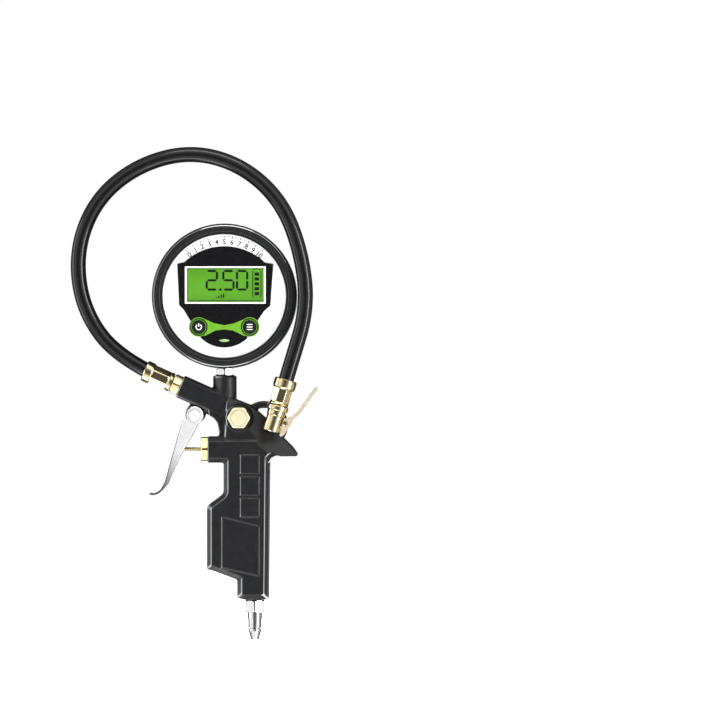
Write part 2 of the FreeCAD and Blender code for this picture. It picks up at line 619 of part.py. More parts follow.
def trigger_pieces():
    """A folded sheet lever: a front web between two side flanges, each with a round ear at the pivot."""
    front = [(-46.6, 125.6), (-54.5, 98.6), (-58.2, 84.9), (-61.1, 79.6)]
    tip = [(-63.2, 77.9), (-66.0, 77.0), (-68.0, 77.5), (-68.5, 76.3), (-65.9, 75.7), (-62.6, 76.7)]
    flange = front + [(-60.1, 78.8), (-56.3, 83.1), (-53.8, 89.2), (-48.9, 99.8), (-36.4, 122.6),
                      (-40.0, 126.0), (-45.4, 125.2)]
    web = front + tip + [(-60.1, 78.8), (-57.0, 84.5), (-53.3, 98.3), (-45.4, 125.2)]
    outer = S.ear_inner + S.sheet_thickness
    parts = [slab("trigger_web", web, outer)]
    for side, low in (("near", S.ear_inner), ("far", -outer)):
        body = new_body("trigger_flange_" + side)
        sketch = new_sketch(body, "XZ_Plane", low)
        draw_loop(sketch, flange)
        pad(body, sketch, S.sheet_thickness)
        parts.append(body)
        parts.append(rod("trigger_ear_" + side, S.ear_radius, low, low + S.sheet_thickness, PIVOT))
    lever = fuse("trigger_sheet", parts)
    bore = rod("trigger_bore", S.pivot_radius + S.pivot_gap, -outer - 1, outer + 1, PIVOT)
    piece(cut("trigger_lever", lever, [bore]))
    head = outer + 0.15
    pin = [(0, -head - 2.0), (S.pivot_radius - 0.4, -head - 2.0), (S.pivot_radius, -head - 1.6),
           (S.pivot_radius, -head - 1.2), (S.pivot_radius - 0.5, -head - 1.2),
           (S.pivot_radius - 0.5, -head - 0.3), (S.pivot_radius, -head - 0.3), (S.pivot_radius, head),
           (S.pivot_head_radius, head), (S.pivot_head_radius, head + S.pivot_head - 0.5),
           (S.pivot_head_radius - 0.5, head + S.pivot_head), (S.pivot_head_radius - 1.3, head + S.pivot_head),
           (S.pivot_head_radius - 1.9, head + S.pivot_head - 0.7), (0, head + S.pivot_head - 0.7)]
    piece(turned("trigger_pivot_pin", pin, PIVOT))
    clip = rod("clip_disc", S.pivot_head_radius, -head - 1.1, -head - 0.4, PIVOT)
    slot = rod("clip_hole", S.pivot_radius - 0.45, -head - 2.0, -head + 1.0, PIVOT)
    mouth = block("clip_mouth", (-1.1, -5.0, -head - 2.0), (1.1, 0, -head + 1.0), PIVOT)
    piece(cut("trigger_pin_clip", clip, [slot, mouth]))


# ---------------------------------------------------------------- gauge

PILLARS = [(-27.0, -24.0), (27.0, -24.0), (-20.0, 27.0), (20.0, 27.0)]
SHIELD = [(-30.4, 21.0), (-26.3, 21.8)]
SHIELD_SIDES = [(31.7, 20.7), (29.8, -6.2), (25.9, -9.6), (21.8, -15.5), (14.7, -26.7)]
BOW = [(-12.9, -14.8), (-6.5, -17.6), (0, -18.9), (6.5, -17.6), (12.5, -15.1), (13.2, -26.0), (5.7, -22.3),
       (0, -21.6), (-5.6, -22.3), (-12.9, -26.0)]


def arc_points(x, y, radius, start, stop, steps):
    """Points along an arc, from one angle to another in degrees."""
    angles = [math.radians(start + (stop - start) * n / steps) for n in range(steps + 1)]
    return [(x + radius * math.cos(a), y + radius * math.sin(a)) for a in angles]


def window(label, width, height, low, high):
    return block(label, (S.window_x - width / 2, S.window_z - height / 2, low),
                 (S.window_x + width / 2, S.window_z + height / 2, high), GAUGE)


def housing_pieces():
    front, back = S.boot_front, -S.boot_back
    boot = turned("boot_blank", [
        (S.boot_lip_radius, front - S.boot_lip), (S.boot_wall_radius, front - S.boot_lip),
        (S.boot_wall_radius, back + S.boot_lip), (S.boot_back_radius, back + S.boot_lip),
        (S.boot_back_radius, back), (S.boot_radius, back), (S.boot_radius, front),
        (S.boot_lip_radius, front)], GAUGE)
    dress(boot, "Fillet", S.boot_edge, lambda edge: edge.BoundBox.XLength > 93
          and abs(edge.BoundBox.Center.z) > 10)
    boot_hole = rod("boot_stem_hole", 5.9, S.stem_hex_top - 1.5, S.stem_hex_top + 6.5, GAUGE_STEM)
    piece(cut("rubber_boot", boot, [boot_hole]))
    shell = turned("case_shell", [
        (0, -S.case_back), (S.case_radius, -S.case_back), (S.case_radius, S.case_rim),
        (S.case_radius - S.case_wall, S.case_rim), (S.case_radius - S.case_wall, -S.case_floor),
        (0, -S.case_floor)], GAUGE)
    pillars = [rod("case_pillar_%d" % n, S.pillar_radius, -S.case_floor - 0.5, S.board_back - 0.05,
                   GAUGE.inside(x, y, 0)) for n, (x, y) in enumerate(PILLARS)]
    door_top = S.door_thickness - S.case_back
    cuts = [
        block("door_recess", (-S.door_width / 2, S.door_z - S.door_height / 2, -S.case_back - 1),
              (S.door_width / 2, S.door_z + S.door_height / 2, door_top), GAUGE),
        block("door_opening", (2 - S.door_width / 2, S.door_z + 4 - S.door_height / 2, -S.case_back - 1),
              (S.door_width / 2 - 2, S.door_z + S.door_height / 2 - 2, 1 - S.case_floor), GAUGE),
        rod("case_stem_hole", S.stem_neck_radius + 0.1, 160.0, 166.0, GAUGE_STEM),
        rod("door_screw_hole", 1.0, -S.case_back, -S.case_floor + 1,
            GAUGE.inside(0, S.door_z - S.door_height / 2 + S.door_screw_up, 0)),
    ]
    for n, (x, y) in enumerate(PILLARS):
        spot = GAUGE.inside(x, y, 0)
        cuts.append(rod("case_screw_hole_%d" % n, S.pillar_hole, -S.case_back - 1, S.board_back + 1, spot))
        cuts.append(rod("case_screw_sink_%d" % n, S.screw_head_radius + 0.2, -S.case_back - 1,
                        -S.case_back + 1.6, spot))
    piece(cut("gauge_case_rear", fuse("case_cup", [shell] + pillars), cuts))
    piece(turned("gauge_front_frame", [
        (S.frame_inner_radius, S.frame_front), (S.case_radius, S.frame_front),
        (S.case_radius, S.case_rim + 0.05), (S.case_radius - 2, S.case_rim + 0.05),
        (S.case_radius - 2, S.frame_step), (S.frame_inner_radius, S.frame_step)], GAUGE))
    screws = []
    for n, (x, y) in enumerate(PILLARS):
        low = -S.case_back + 0.2
        screws.append(turned("case_screw_%d" % n, [
            (0, low), (S.screw_head_radius, low), (S.screw_head_radius, low + 1.2),
            (S.screw_radius, low + 1.2), (S.screw_radius, S.dial_back - 0.4), (0, S.dial_back - 0.4)],
            GAUGE.inside(x, y, 0)))
    piece(fuse("case_screws", screws))


def battery_pieces():
    rim = 0.15
    low_z = S.door_z - S.door_height / 2
    door = block("door_slab", (rim - S.door_width / 2, low_z + rim, -S.case_back),
                 (S.door_width / 2 - rim, low_z + S.door_height - rim, S.door_thickness - S.case_back - 0.05),
                 GAUGE)
    screw_spot = GAUGE.inside(0, low_z + S.door_screw_up, 0)
    ribs = [block("door_rib_%d" % n, (-7.0, low_z + 20.0 + 1.6 * n, -S.case_back - 0.4),
                  (7.0, low_z + 20.8 + 1.6 * n, -S.case_back + 0.2), GAUGE) for n in range(4)]
    hole = rod("door_hole", 1.1, -S.case_back - 1, -S.case_floor, screw_spot)
    piece(cut("battery_door", fuse("door_ribbed", [door] + ribs), [hole]))
    piece(turned("battery_door_screw", [
        (0, -S.case_back - 0.9), (1.8, -S.case_back - 0.9), (1.8, -S.case_back), (0.9, -S.case_back),
        (0.9, -S.case_floor - 0.8), (0, -S.case_floor - 0.8)], screw_spot))
    along = FreeCAD.Rotation(FreeCAD.Vector(0, 1, 0), 90)
    cells = []
    for n, height in enumerate((S.cell_upper_z, S.cell_lower_z)):
        half = S.cell_length / 2
        spot = GAUGE.inside(0, height, S.cell_depth, along)
        cells.append(turned("cell_%d" % n, [
            (0, -half), (S.cell_radius - 0.5, -half), (S.cell_radius, 0.5 - half),
            (S.cell_radius, half - 1.6), (S.cell_radius - 0.8, half - 1.0), (1.9, half - 1.0),
            (1.9, half), (0, half)], spot))
    piece(fuse("batteries", cells))
    contacts = []
    for side in (-1, 1):
        near = (S.cell_length / 2 + 0.1) * side
        far = near + 0.5 * side
        low_x, high_x = (far, near) if side < 0 else (near, far)
        contacts.append(block("contact_%d" % side, (low_x, S.cell_lower_z - 3.5, S.cell_depth - 3.5),
                              (high_x, S.cell_upper_z + 3.5, S.board_back - 0.05), GAUGE))
    piece(fuse("battery_contacts", contacts))


def dial_pieces():
    disc = turned("dial_disc", [(0, S.dial_back), (S.dial_radius, S.dial_back),
                                (S.dial_radius, S.dial_front), (0, S.dial_front)], GAUGE)
    bosses = [rod("dial_boss_%d" % n, S.pillar_radius, S.board_front + 0.05, S.dial_back + 0.5,
                  GAUGE.inside(x, y, 0)) for n, (x, y) in enumerate(PILLARS)]
    holes = [rod("dial_screw_hole_%d" % n, S.screw_radius + 0.05, S.board_front - 0.5, S.dial_back - 0.3,
                 GAUGE.inside(x, y, 0)) for n, (x, y) in enumerate(PILLARS)]
    for side in (-1, 1):
        spot = GAUGE.inside(S.button_x * side, S.button_z, 0)
        holes.append(rod("dial_button_hole_%d" % side, S.button_radius + S.button_gap, S.dial_back - 1,
                         S.dial_front + 1, spot))
    holes.append(window("dial_window", S.window_width, S.window_height, S.dial_back - 1, S.dial_front + 1))
    piece(cut("dial_faceplate", fuse("dial_plate", [disc] + bosses), holes))

    low = S.dial_front + 0.05
    shield = SHIELD + arc_points(0.15, -6.0, 38.2, 133.8, 46.2, 14) + SHIELD_SIDES \
        + arc_points(0, -11.7, 21.6, -46.0, -134.0, 12) + [(-22.2, -15.5), (-26.3, -8.8), (-29.2, -5.8)]
    overlay = plate("shield_blank", shield, low, S.panel_front, GAUGE)
    trim_cutter = plate("bow_cutter", BOW, low - 1, S.panel_front + 1, GAUGE)
    rings = [rod("ring_cutter_%d" % side, S.trim_ring_radius + 0.05, low - 1, S.panel_front + 1,
                 GAUGE.inside(S.button_x * side, S.button_z, 0)) for side in (-1, 1)]
    frame_hole = window("frame_cutter", S.lcd_frame_width + 0.1, S.lcd_frame_height + 0.1, low - 1,
                        S.panel_front + 1)
    led_hole = rod("led_cutter", S.led_half_width + 0.1, low - 1, S.panel_front + 1,
                   GAUGE.inside(0, S.led_z, 0))
    led_slot = block("led_slot", (-S.led_half_width - 0.1, S.led_z - S.led_half_height - 0.1, low - 1),
                     (S.led_half_width + 0.1, S.led_z + S.led_half_height + 0.1, S.panel_front + 1), GAUGE)
    led_slot_round = common("led_opening", led_hole, led_slot)
    piece(cut("display_panel", overlay, [trim_cutter, frame_hole, led_slot_round] + rings))

    bow = plate("bow_blank", BOW, low, S.trim_front, GAUGE)
    outer = [rod("trim_ring_%d" % side, S.trim_ring_radius, low, S.trim_front,
                 GAUGE.inside(S.button_x * side, S.button_z, 0)) for side in (-1, 1)]
    inner = [rod("trim_hole_%d" % side, S.button_radius + S.button_gap, low - 1, S.trim_front + 1,
                 GAUGE.inside(S.button_x * side, S.button_z, 0)) for side in (-1, 1)]
    piece(cut("button_trim", fuse("trim_solid", [bow] + outer), inner))

    rim = window("lcd_rim", S.lcd_frame_width, S.lcd_frame_height, low, S.lcd_frame_front)
    hole = window("lcd_rim_hole", S.window_width, S.window_height, low - 1, S.lcd_frame_front + 1)
    piece(cut("lcd_frame", rim, [hole]))
    piece(window("lcd_glass", S.window_width - 0.1, S.window_height - 0.1, S.glass_back, S.glass_front))
    piece(window("lcd_module", S.window_width - 0.2, S.window_height - 0.2, S.lcd_back, S.lcd_front))
    lens = rod("led_round", S.led_half_width, S.dial_front + 0.05, S.panel_front + 0.3,
               GAUGE.inside(0, S.led_z, 0))
    bar = block("led_bar", (-S.led_half_width, S.led_z - S.led_half_height, S.dial_front),
                (S.led_half_width, S.led_z + S.led_half_height, S.panel_front + 1), GAUGE)
    piece(common("status_led", lens, bar))


def common(label, one, other):
    result = doc.addObject("Part::Common", label)
    result.Base = one
    result.Tool = other
    return result


SEGMENTS = {"top": (0, 1, 2, 1), "middle": (0, 0, 2, 0), "bottom": (0, -1, 2, -1),
            "upper_left": (0, 0, 0, 1), "lower_left": (0, -1, 0, 0),
            "upper_right": (2, 0, 2, 1), "lower_right": (2, -1, 2, 0)}
DIGITS = {"two": ("top", "upper_right", "middle", "lower_left", "bottom"),
          "five": ("top", "upper_left", "middle", "lower_right", "bottom"),
          "zero": ("top", "upper_left", "lower_left", "upper_right", "lower_right", "bottom")}


def segment(label, x, y, wide, tall):
    """One display segment: a bar with pointed ends, about its own centre."""
    if wide > tall:
        half, thin = wide / 2, tall / 2
        outline = [(x - half, y), (x - half + thin, y + thin), (x + half - thin, y + thin), (x + half, y),
                   (x + half - thin, y - thin), (x - half + thin, y - thin)]
    else:
        half, thin = tall / 2, wide / 2
        outline = [(x, y - half), (x + thin, y - half + thin), (x + thin, y + half - thin), (x, y + half),
                   (x - thin, y + half - thin), (x - thin, y - half + thin)]
    return plate(label, outline, S.lcd_front + 0.02, S.segment_front, GAUGE)


def display_segments():
    """The lit segments: a three-figure reading, a point, a level mark and the battery sign."""
    half_wide, half_tall, thick, gap = S.figure_half_width.number, S.figure_half_height.number, \
        S.figure_stroke.number, S.figure_gap.number
    shapes = []
    for centre, digit in ((-8.1, "two"), (2.6, "five"), (11.5, "zero")):
        for name in DIGITS[digit]:
            x0, y0, x1, y1 = SEGMENTS[name]
            x = centre + ((x0 + x1) / 2 - 1) * half_wide
            y = S.figure_z.number + (y0 + y1) / 2 * half_tall
            flat = y0 == y1
            wide = 2 * half_wide - gap if flat else thick
            tall = thick if flat else half_tall - gap
            shapes.append(segment("%s_%s" % (digit, name), x, y, wide, tall))
    # each mark is (x, y, width, height) about the gauge's centre
    point = [(-2.6, 4.2, 1.5, 1.5)]
    level_bars = [(-5.0 + 1.5 * n, -0.9 + 0.35 * n, 0.8, 0.9 + 0.7 * n) for n in range(4)]
    charge_bars = [(21.05, 14.2 - 3.15 * n, 3.0, 2.1) for n in range(5)]
    cell_outline = [(18.4, 8.0, 0.6, 17.0), (23.7, 8.0, 0.6, 17.0), (19.2, -0.9, 0.8, 0.6),
                    (22.9, -0.9, 0.8, 0.6), (19.3, 17.2, 1.0, 0.6), (22.8, 17.2, 1.0, 0.6),
                    (21.05, 17.8, 1.6, 0.6)]
    for n, (x, y, wide, tall) in enumerate(point + level_bars + charge_bars + cell_outline):
        shapes.append(block("mark_%d" % n, (x - wide / 2, y - tall / 2, S.lcd_front + 0.02),
                            (x + wide / 2, y + tall / 2, S.segment_front), GAUGE))
    piece(fuse("lcd_segments", shapes))


def control_pieces():
    for side, name in ((-1, "power_button"), (1, "mode_button")):
        spot = GAUGE.inside(S.button_x * side, S.button_z, 0)
        flange = S.button_foot + 0.6
        piece(turned(name, [
            (0, S.button_foot), (S.button_flange_radius, S.button_foot), (S.button_flange_radius, flange),
            (S.button_radius, flange), (S.button_radius, S.button_front - 0.8),
            (S.button_radius - 0.8, S.button_front), (0, S.button_front - 0.25)], spot))
    board = turned("board_disc", [(0, S.board_back), (S.board_radius, S.board_back),
                                  (S.board_radius, S.board_front), (0, S.board_front)], GAUGE)
    holes = [rod("board_hole_%d" % n, S.pillar_hole, S.board_back - 1, S.board_front + 1,
                 GAUGE.inside(x, y, 0)) for n, (x, y) in enumerate(PILLARS)]
    piece(cut("circuit_board", board, holes))
    switches = []
    for side in (-1, 1):
        spot = GAUGE.inside(S.button_x * side, S.button_z, 0)
        base = block("switch_base_%d" % side, (-3, -3, S.board_front + 0.02),
                     (3, 3, S.switch_top - 0.5), spot)
        top = rod("switch_top_%d" % side, 1.6, S.board_front + 0.5, S.switch_top, spot)
        switches.append(fuse("switch_%d" % side, [base, top]))
    piece(fuse("tactile_switches", switches))


def stem_pieces():
    corner = S.stem_hex_flats * (HEX_CORNER / 2) - 0.2
    outline = [
        (1.5, S.stem_foot), (S.stem_thread_radius, S.stem_foot), (S.stem_thread_radius, S.stem_washer_top),
        (corner - 0.5, S.stem_washer_top), (corner, S.stem_washer_top + 0.5),
        (corner, S.stem_hex_top - 0.5), (corner - 0.5, S.stem_hex_top), (S.stem_neck_radius, S.stem_hex_top),
        (S.stem_neck_radius, S.stem_top), (1.5, S.stem_top)]
    blank = turned("gauge_stem_blank", outline, GAUGE_STEM)
    piece(faceted("gauge_stem", blank, 6, S.stem_hex_flats, S.stem_washer_top, S.stem_hex_top,
                  GAUGE_STEM, 30.0))
    piece(turned("gauge_stem_seal", [
        (S.stem_thread_radius + 0.1, S.boss_top), (6.3, S.boss_top), (6.3, S.stem_washer_top),
        (S.stem_thread_radius + 0.1, S.stem_washer_top)], GAUGE_STEM))
    piece(turned("pressure_sensor", [
        (0, S.stem_top + 0.05), (4.3, S.stem_top + 0.05), (4.3, S.sensor_top - 2), (2.6, S.sensor_top - 2),
        (2.6, S.sensor_top), (0, S.sensor_top)], GAUGE_STEM))


# ---------------------------------------------------------------- hose and fittings

def ferrule(name, start, crimp, flange, end, flange_radius, neck_radius, spot, step=0.2):
    """A crimped sleeve: a closed collar, eight crimp flats and a wide bell at the hose."""
    outline = [
        (neck_radius, start), (S.crimp_radius - 0.4, start), (S.crimp_radius, start + 0.4),
        (S.crimp_radius, crimp - 0.8), (S.crimp_radius - 0.5, crimp), (S.crimp_radius, crimp + 0.8),
        (S.crimp_radius, flange - 1.0), (flange_radius, flange + 0.6), (flange_radius, end - 0.7),
        (flange_radius - 0.7, end), (S.ferrule_bore_radius, end), (S.ferrule_bore_radius, crimp + step),
        (neck_radius, crimp + step)]
    blank = turned(name + "_blank", outline, spot)
    return piece(faceted(name, blank, 8, S.crimp_flats, crimp, flange - 0.6, spot, 22.5))


def outlet_pieces():
    corner = S.outlet_hex_flats * (HEX_CORNER / 2) - 0.3
    outline = [
        (1.5, -S.outlet_thread), (S.outlet_thread_radius, -S.outlet_thread), (S.outlet_thread_radius, 0),
        (corner - 0.5, 0), (corner, 0.5), (corner, S.outlet_hex - 0.7), (corner - 0.9, S.outlet_hex),
        (S.outlet_neck_radius, S.outlet_hex), (S.outlet_neck_radius, S.outlet_crimp + 0.2),
        (S.barb_radius, S.outlet_crimp + 0.2), (S.barb_radius, S.outlet_barb),
        (S.barb_radius - 0.4, S.outlet_barb + 0.8), (1.5, S.outlet_barb + 0.8)]
    blank = turned("outlet_blank", outline, OUTLET)
    piece(faceted("outlet_fitting", blank, 6, S.outlet_hex_flats, 0, S.outlet_hex, OUTLET, 30.0))
    ferrule("outlet_ferrule", S.outlet_hex + 0.5, S.outlet_crimp, S.outlet_flange, S.outlet_end,
            S.outlet_flange_radius, S.outlet_neck_radius + 0.05, OUTLET)


def hose_path(points):
    """Straight runs joined by tangent arcs, each as large as its two runs allow."""
    corners = [FreeCAD.Vector(*p) for p in points]
    edges, here, radii = [], corners[0], []
    for before, corner, after in zip(corners, corners[1:], corners[2:]):
        back, ahead = (before - corner), (after - corner)
        shorter = min(back.Length, ahead.Length)
        back.normalize()
        ahead.normalize()
        half_turn = (math.pi - back.getAngle(ahead)) / 2
        reach = 0.45 * shorter
        radius = reach / math.tan(half_turn)
        radii.append(radius)
        bisector = (back + ahead).normalize()
        centre = corner + bisector * (radius / math.cos(half_turn))
        start, end = corner + back * reach, corner + ahead * reach
        middle = centre - bisector * radius
        edges.append(Part.LineSegment(here, start).toShape())
        edges.append(Part.Arc(start, middle, end).toShape())
        here = end
    edges.append(Part.LineSegment(here, corners[-1]).toShape())
    return Part.Wire(edges), radii


def air_hose():
    path, radii = hose_path(HOSE_ROUTE)
    start = FreeCAD.Vector(*HOSE_ROUTE[0])
    heading = FreeCAD.Vector(*HOSE_ROUTE[1]) - start
    tubes = []
    for radius in (S.hose_radius.number, S.hose_bore_radius.number):
        ring = Part.Wire([Part.Circle(start, heading, radius).toShape()])
        tubes.append(path.makePipeShell([ring], True, False))
    hose = tubes[0].cut(tubes[1])
    section = math.pi * (S.hose_radius.number ** 2 - S.hose_bore_radius.number ** 2)
    print("hose length %.1f mm, bend radii %s" % (path.Length, ["%.0f" % r for r in radii]))
    print("hose volume over section times length: %.4f" % (hose.Volume / (section * path.Length)))
    assert abs(hose.Volume / (section * path.Length) - 1) < 0.01
    feature = doc.addObject("Part::Feature", "air_hose")
    feature.Shape = hose.Solids[0]
    piece(feature)


def chuck_pieces():
    mouth = turned("mouth_blank", [
        (S.valve_bore_radius, 0), (S.mouth_radius - 0.5, 0), (S.mouth_radius, 0.5),
        (S.mouth_radius, S.mouth_length), (S.chuck_collar_radius, S.mouth_length + 0.4),
        (S.chuck_collar_radius, S.chuck_collar_end), (S.valve_bore_radius, S.chuck_collar_end),
        (S.valve_bore_radius, S.depressor_flange - 0.1), (S.chuck_bore_radius, S.depressor_flange - 0.1),
        (S.chuck_bore_radius, S.valve_bore_depth), (S.valve_bore_radius, S.valve_bore_depth)], CHUCK)
    plates = []
    for side in (-1, 1):
        near = S.lug_plate_gap * side
        far = near + S.lug_plate * side
        low, high = (far, near) if side < 0 else (near, far)
        body = new_body("lug_plate_%d" % side, CHUCK)
        sketch = new_sketch(body, "XZ_Plane", -high)
        draw_loop(sketch, [(4.6, 4.6), (7.6, 5.4), (9.3, 6.6), (9.6, 7.9), (8.9, 9.2), (7.3, 9.8),
                           (4.6, 10.2)])
        pad(body, sketch, S.lug_plate)
        plates.append(body)
    rivet_turn = FreeCAD.Rotation(FreeCAD.Vector(1, 0, 0), 90)
    rivet_spot = CHUCK.inside(S.rivet_offset, 0, S.rivet_height, rivet_turn)
    hole = rod("lug_hole", S.rivet_radius + 0.02, -5, 5, rivet_spot)
    slot = block("hook_slot", (3.0, -1.6, 0.7), (7.0, 1.6, 3.2), CHUCK)
    piece(cut("chuck_body", fuse("chuck_casting", [mouth] + plates), [hole, slot]))

    piece(turned("chuck_seal", [
        (S.depressor_radius + 0.1, S.valve_bore_depth + 0.3),
        (S.chuck_bore_radius - 0.05, S.valve_bore_depth + 0.3),
        (S.chuck_bore_radius - 0.05, S.depressor_flange - 0.3),
        (S.depressor_radius + 0.1, S.depressor_flange - 0.3)], CHUCK))
    piece(turned("chuck_depressor", [
        (0, S.depressor_tip), (S.depressor_radius - 0.3, S.depressor_tip),
        (S.depressor_radius, S.depressor_tip + 0.3), (S.depressor_radius, S.depressor_flange),
        (1.9, S.depressor_flange), (1.9, S.depressor_top), (0, S.depressor_top)], CHUCK))
    thread = S.valve_bore_radius - 0.05
    piece(turned("chuck_adapter", [
        (2.1, S.depressor_flange + 0.1), (thread, S.depressor_flange + 0.1), (thread, S.chuck_collar_end),
        (S.adapter_radius - 0.5, S.chuck_collar_end), (S.adapter_radius, S.chuck_collar_end + 0.5),
        (S.adapter_radius, S.adapter_end - 0.6), (S.adapter_radius - 0.6, S.adapter_end),
        (S.barb_radius, S.adapter_end), (S.barb_radius, S.chuck_barb), (1.5, S.chuck_barb),
        (1.5, S.adapter_end - 1), (2.1, S.adapter_end - 1)], CHUCK))
    piece(spring("chuck_depressor_spring", CHUCK, S.depressor_spring_radius.number, S.fine_wire.number,
                 S.depressor_top.number + 0.05, S.adapter_end.number - 1.1, 4))
    ferrule("chuck_ferrule", S.adapter_end + 0.1, S.adapter_end + 1.9, S.chuck_flange, S.chuck_end,
            S.chuck_flange_radius, S.barb_radius + 0.05, CHUCK, -0.9)
    chuck_lever_pieces(rivet_spot)


def chuck_lever_pieces(rivet_spot):
    """The clip lever: two cheeks on the rivet, a hook under the mouth and a long thumb strip."""
    cheek = [(5.9, 10.3), (8.6, 11.6), (12.0, 10.9), (11.9, 9.9), (8.9, 0.2), (7.9, -1.1), (6.9, -1.4),
             (6.1, -0.6), (6.3, 2.0), (5.7, 4.5), (5.6, 8.0)]
    strip = [(7.7, 10.3), (10.9, 10.3), (14.9, 15.9), (21.0, 33.5), (21.4, 35.2), (19.9, 35.9),
             (18.8, 34.5), (12.9, 17.5), (9.5, 12.5), (7.7, 11.9)]
    hook = [(6.1, -0.6), (6.9, -1.4), (7.9, -1.1), (8.9, 0.2), (8.4, 1.2), (6.6, 0.6)]
    tooth = [(4.4, 1.0), (8.2, 0.2), (9.0, 2.4), (6.2, 2.8), (4.4, 2.2)]
    outer = S.cheek_inner + S.cheek_thickness
    parts = [slab("lever_strip", strip, outer, CHUCK), slab("lever_hook", hook, outer, CHUCK),
             slab("lever_tooth", tooth, 1.4, CHUCK)]
    for side, low in (("near", S.cheek_inner), ("far", -outer)):
        body = new_body("lever_cheek_" + side, CHUCK)
        sketch = new_sketch(body, "XZ_Plane", low)
        draw_loop(sketch, cheek)
        pad(body, sketch, S.cheek_thickness)
        parts.append(body)
    bore = rod("lever_bore", S.rivet_radius + 0.06, -5, 5, rivet_spot)
    piece(cut("chuck_lever", fuse("lever_sheet", parts), [bore]))
    head = outer + 0.1
    piece(turned("chuck_lever_rivet", [
        (0, -head - 0.6), (1.3, -head - 0.6), (1.7, -head - 0.2), (1.7, -head), (S.rivet_radius, -head),
        (S.rivet_radius, head), (1.7, head), (1.7, head + 0.2), (1.3, head + 0.6), (0, head + 0.6)],
        rivet_spot))
    half = S.lever_spring_half.number
    piece(spring("chuck_lever_spring", rivet_spot, S.lever_spring_radius.number, S.fine_wire.number, -half,
                 half, 4))


# ---------------------------------------------------------------- build, check and write

gun_body()
inlet_pieces()
junction_pieces()
valve_pieces()
trigger_pieces()
housing_pieces()
battery_pieces()
dial_pieces()
display_segments()
control_pieces()
stem_pieces()
outlet_pieces()
air_hose()
chuck_pieces()

doc.recompute()
for thing in doc.Objects:
    if {"Invalid", "Error"} & set(thing.State):
        raise RuntimeError("%s could not be built: %s" % (thing.Label, thing.State))
os.makedirs("parts", exist_ok=True)
for name, feature in PIECES.items():
    shape = feature.Shape
    if shape.isNull() or not shape.isValid() or shape.Volume <= 0:
        raise RuntimeError("%s is not a sound solid" % name)
    shape.exportStep("parts/%s.step" % name)
    print("%-24s %d solid(s) %10.1f mm3" % (name, len(shape.Solids), shape.Volume))
print(len(PIECES), "sub-parts")
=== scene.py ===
import bmesh
import bpy
import json
import math
from mathutils import Matrix, Vector


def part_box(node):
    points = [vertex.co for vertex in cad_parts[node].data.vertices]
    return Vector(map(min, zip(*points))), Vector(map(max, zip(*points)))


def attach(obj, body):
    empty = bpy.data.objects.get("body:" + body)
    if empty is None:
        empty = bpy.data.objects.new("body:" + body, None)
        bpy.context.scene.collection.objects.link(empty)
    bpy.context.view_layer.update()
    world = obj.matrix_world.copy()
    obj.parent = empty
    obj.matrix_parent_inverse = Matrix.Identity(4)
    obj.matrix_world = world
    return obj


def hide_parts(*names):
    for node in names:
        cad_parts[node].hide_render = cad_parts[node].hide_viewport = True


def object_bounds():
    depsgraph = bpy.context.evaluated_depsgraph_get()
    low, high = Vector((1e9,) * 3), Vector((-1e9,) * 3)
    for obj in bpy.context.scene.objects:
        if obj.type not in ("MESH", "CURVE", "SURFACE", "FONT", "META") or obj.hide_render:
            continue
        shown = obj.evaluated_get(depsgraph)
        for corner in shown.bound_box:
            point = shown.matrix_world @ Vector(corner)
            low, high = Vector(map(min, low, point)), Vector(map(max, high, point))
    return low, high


# A tyre inflator with a digital gauge, its hose and its clip-on chuck.  Metres, in the frame of the packed
# model: +Z runs up the grip and -Y faces the camera.

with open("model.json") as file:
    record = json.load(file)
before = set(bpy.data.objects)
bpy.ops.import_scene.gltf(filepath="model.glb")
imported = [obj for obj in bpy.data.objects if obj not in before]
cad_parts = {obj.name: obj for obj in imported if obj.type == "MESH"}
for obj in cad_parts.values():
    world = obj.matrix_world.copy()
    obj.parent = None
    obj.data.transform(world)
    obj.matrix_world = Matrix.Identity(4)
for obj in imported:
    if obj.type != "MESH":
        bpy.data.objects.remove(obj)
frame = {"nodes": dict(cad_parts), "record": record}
CAD_LOW, CAD_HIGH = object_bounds()
NODES = frame["nodes"]
MM = 0.001


def middle(node):
    low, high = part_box(node)
    return (low + high) / 2


GAUGE = middle("rubber_boot")
DIAL_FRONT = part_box("dial_faceplate")[0].y
FLOOR_HEIGHT = CAD_LOW.z


# ---------------------------------------------------------------- camera, floor and light

CAMERA_PLACE = (0.0683, -2.47, 0.1636)
LENS_MM, SENSOR_MM = 190, 36
FARTHEST_SEEN = 50


def make_camera():
    """A long lens, level, square to the dial."""
    data = bpy.data.cameras.new("camera")
    data.lens = LENS_MM
    data.sensor_width = SENSOR_MM
    data.clip_end = FARTHEST_SEEN
    camera = bpy.data.objects.new("camera", data)
    camera.location = CAMERA_PLACE
    camera.rotation_euler = (math.radians(90), 0, 0)
    bpy.context.scene.collection.objects.link(camera)
    bpy.context.scene.camera = camera


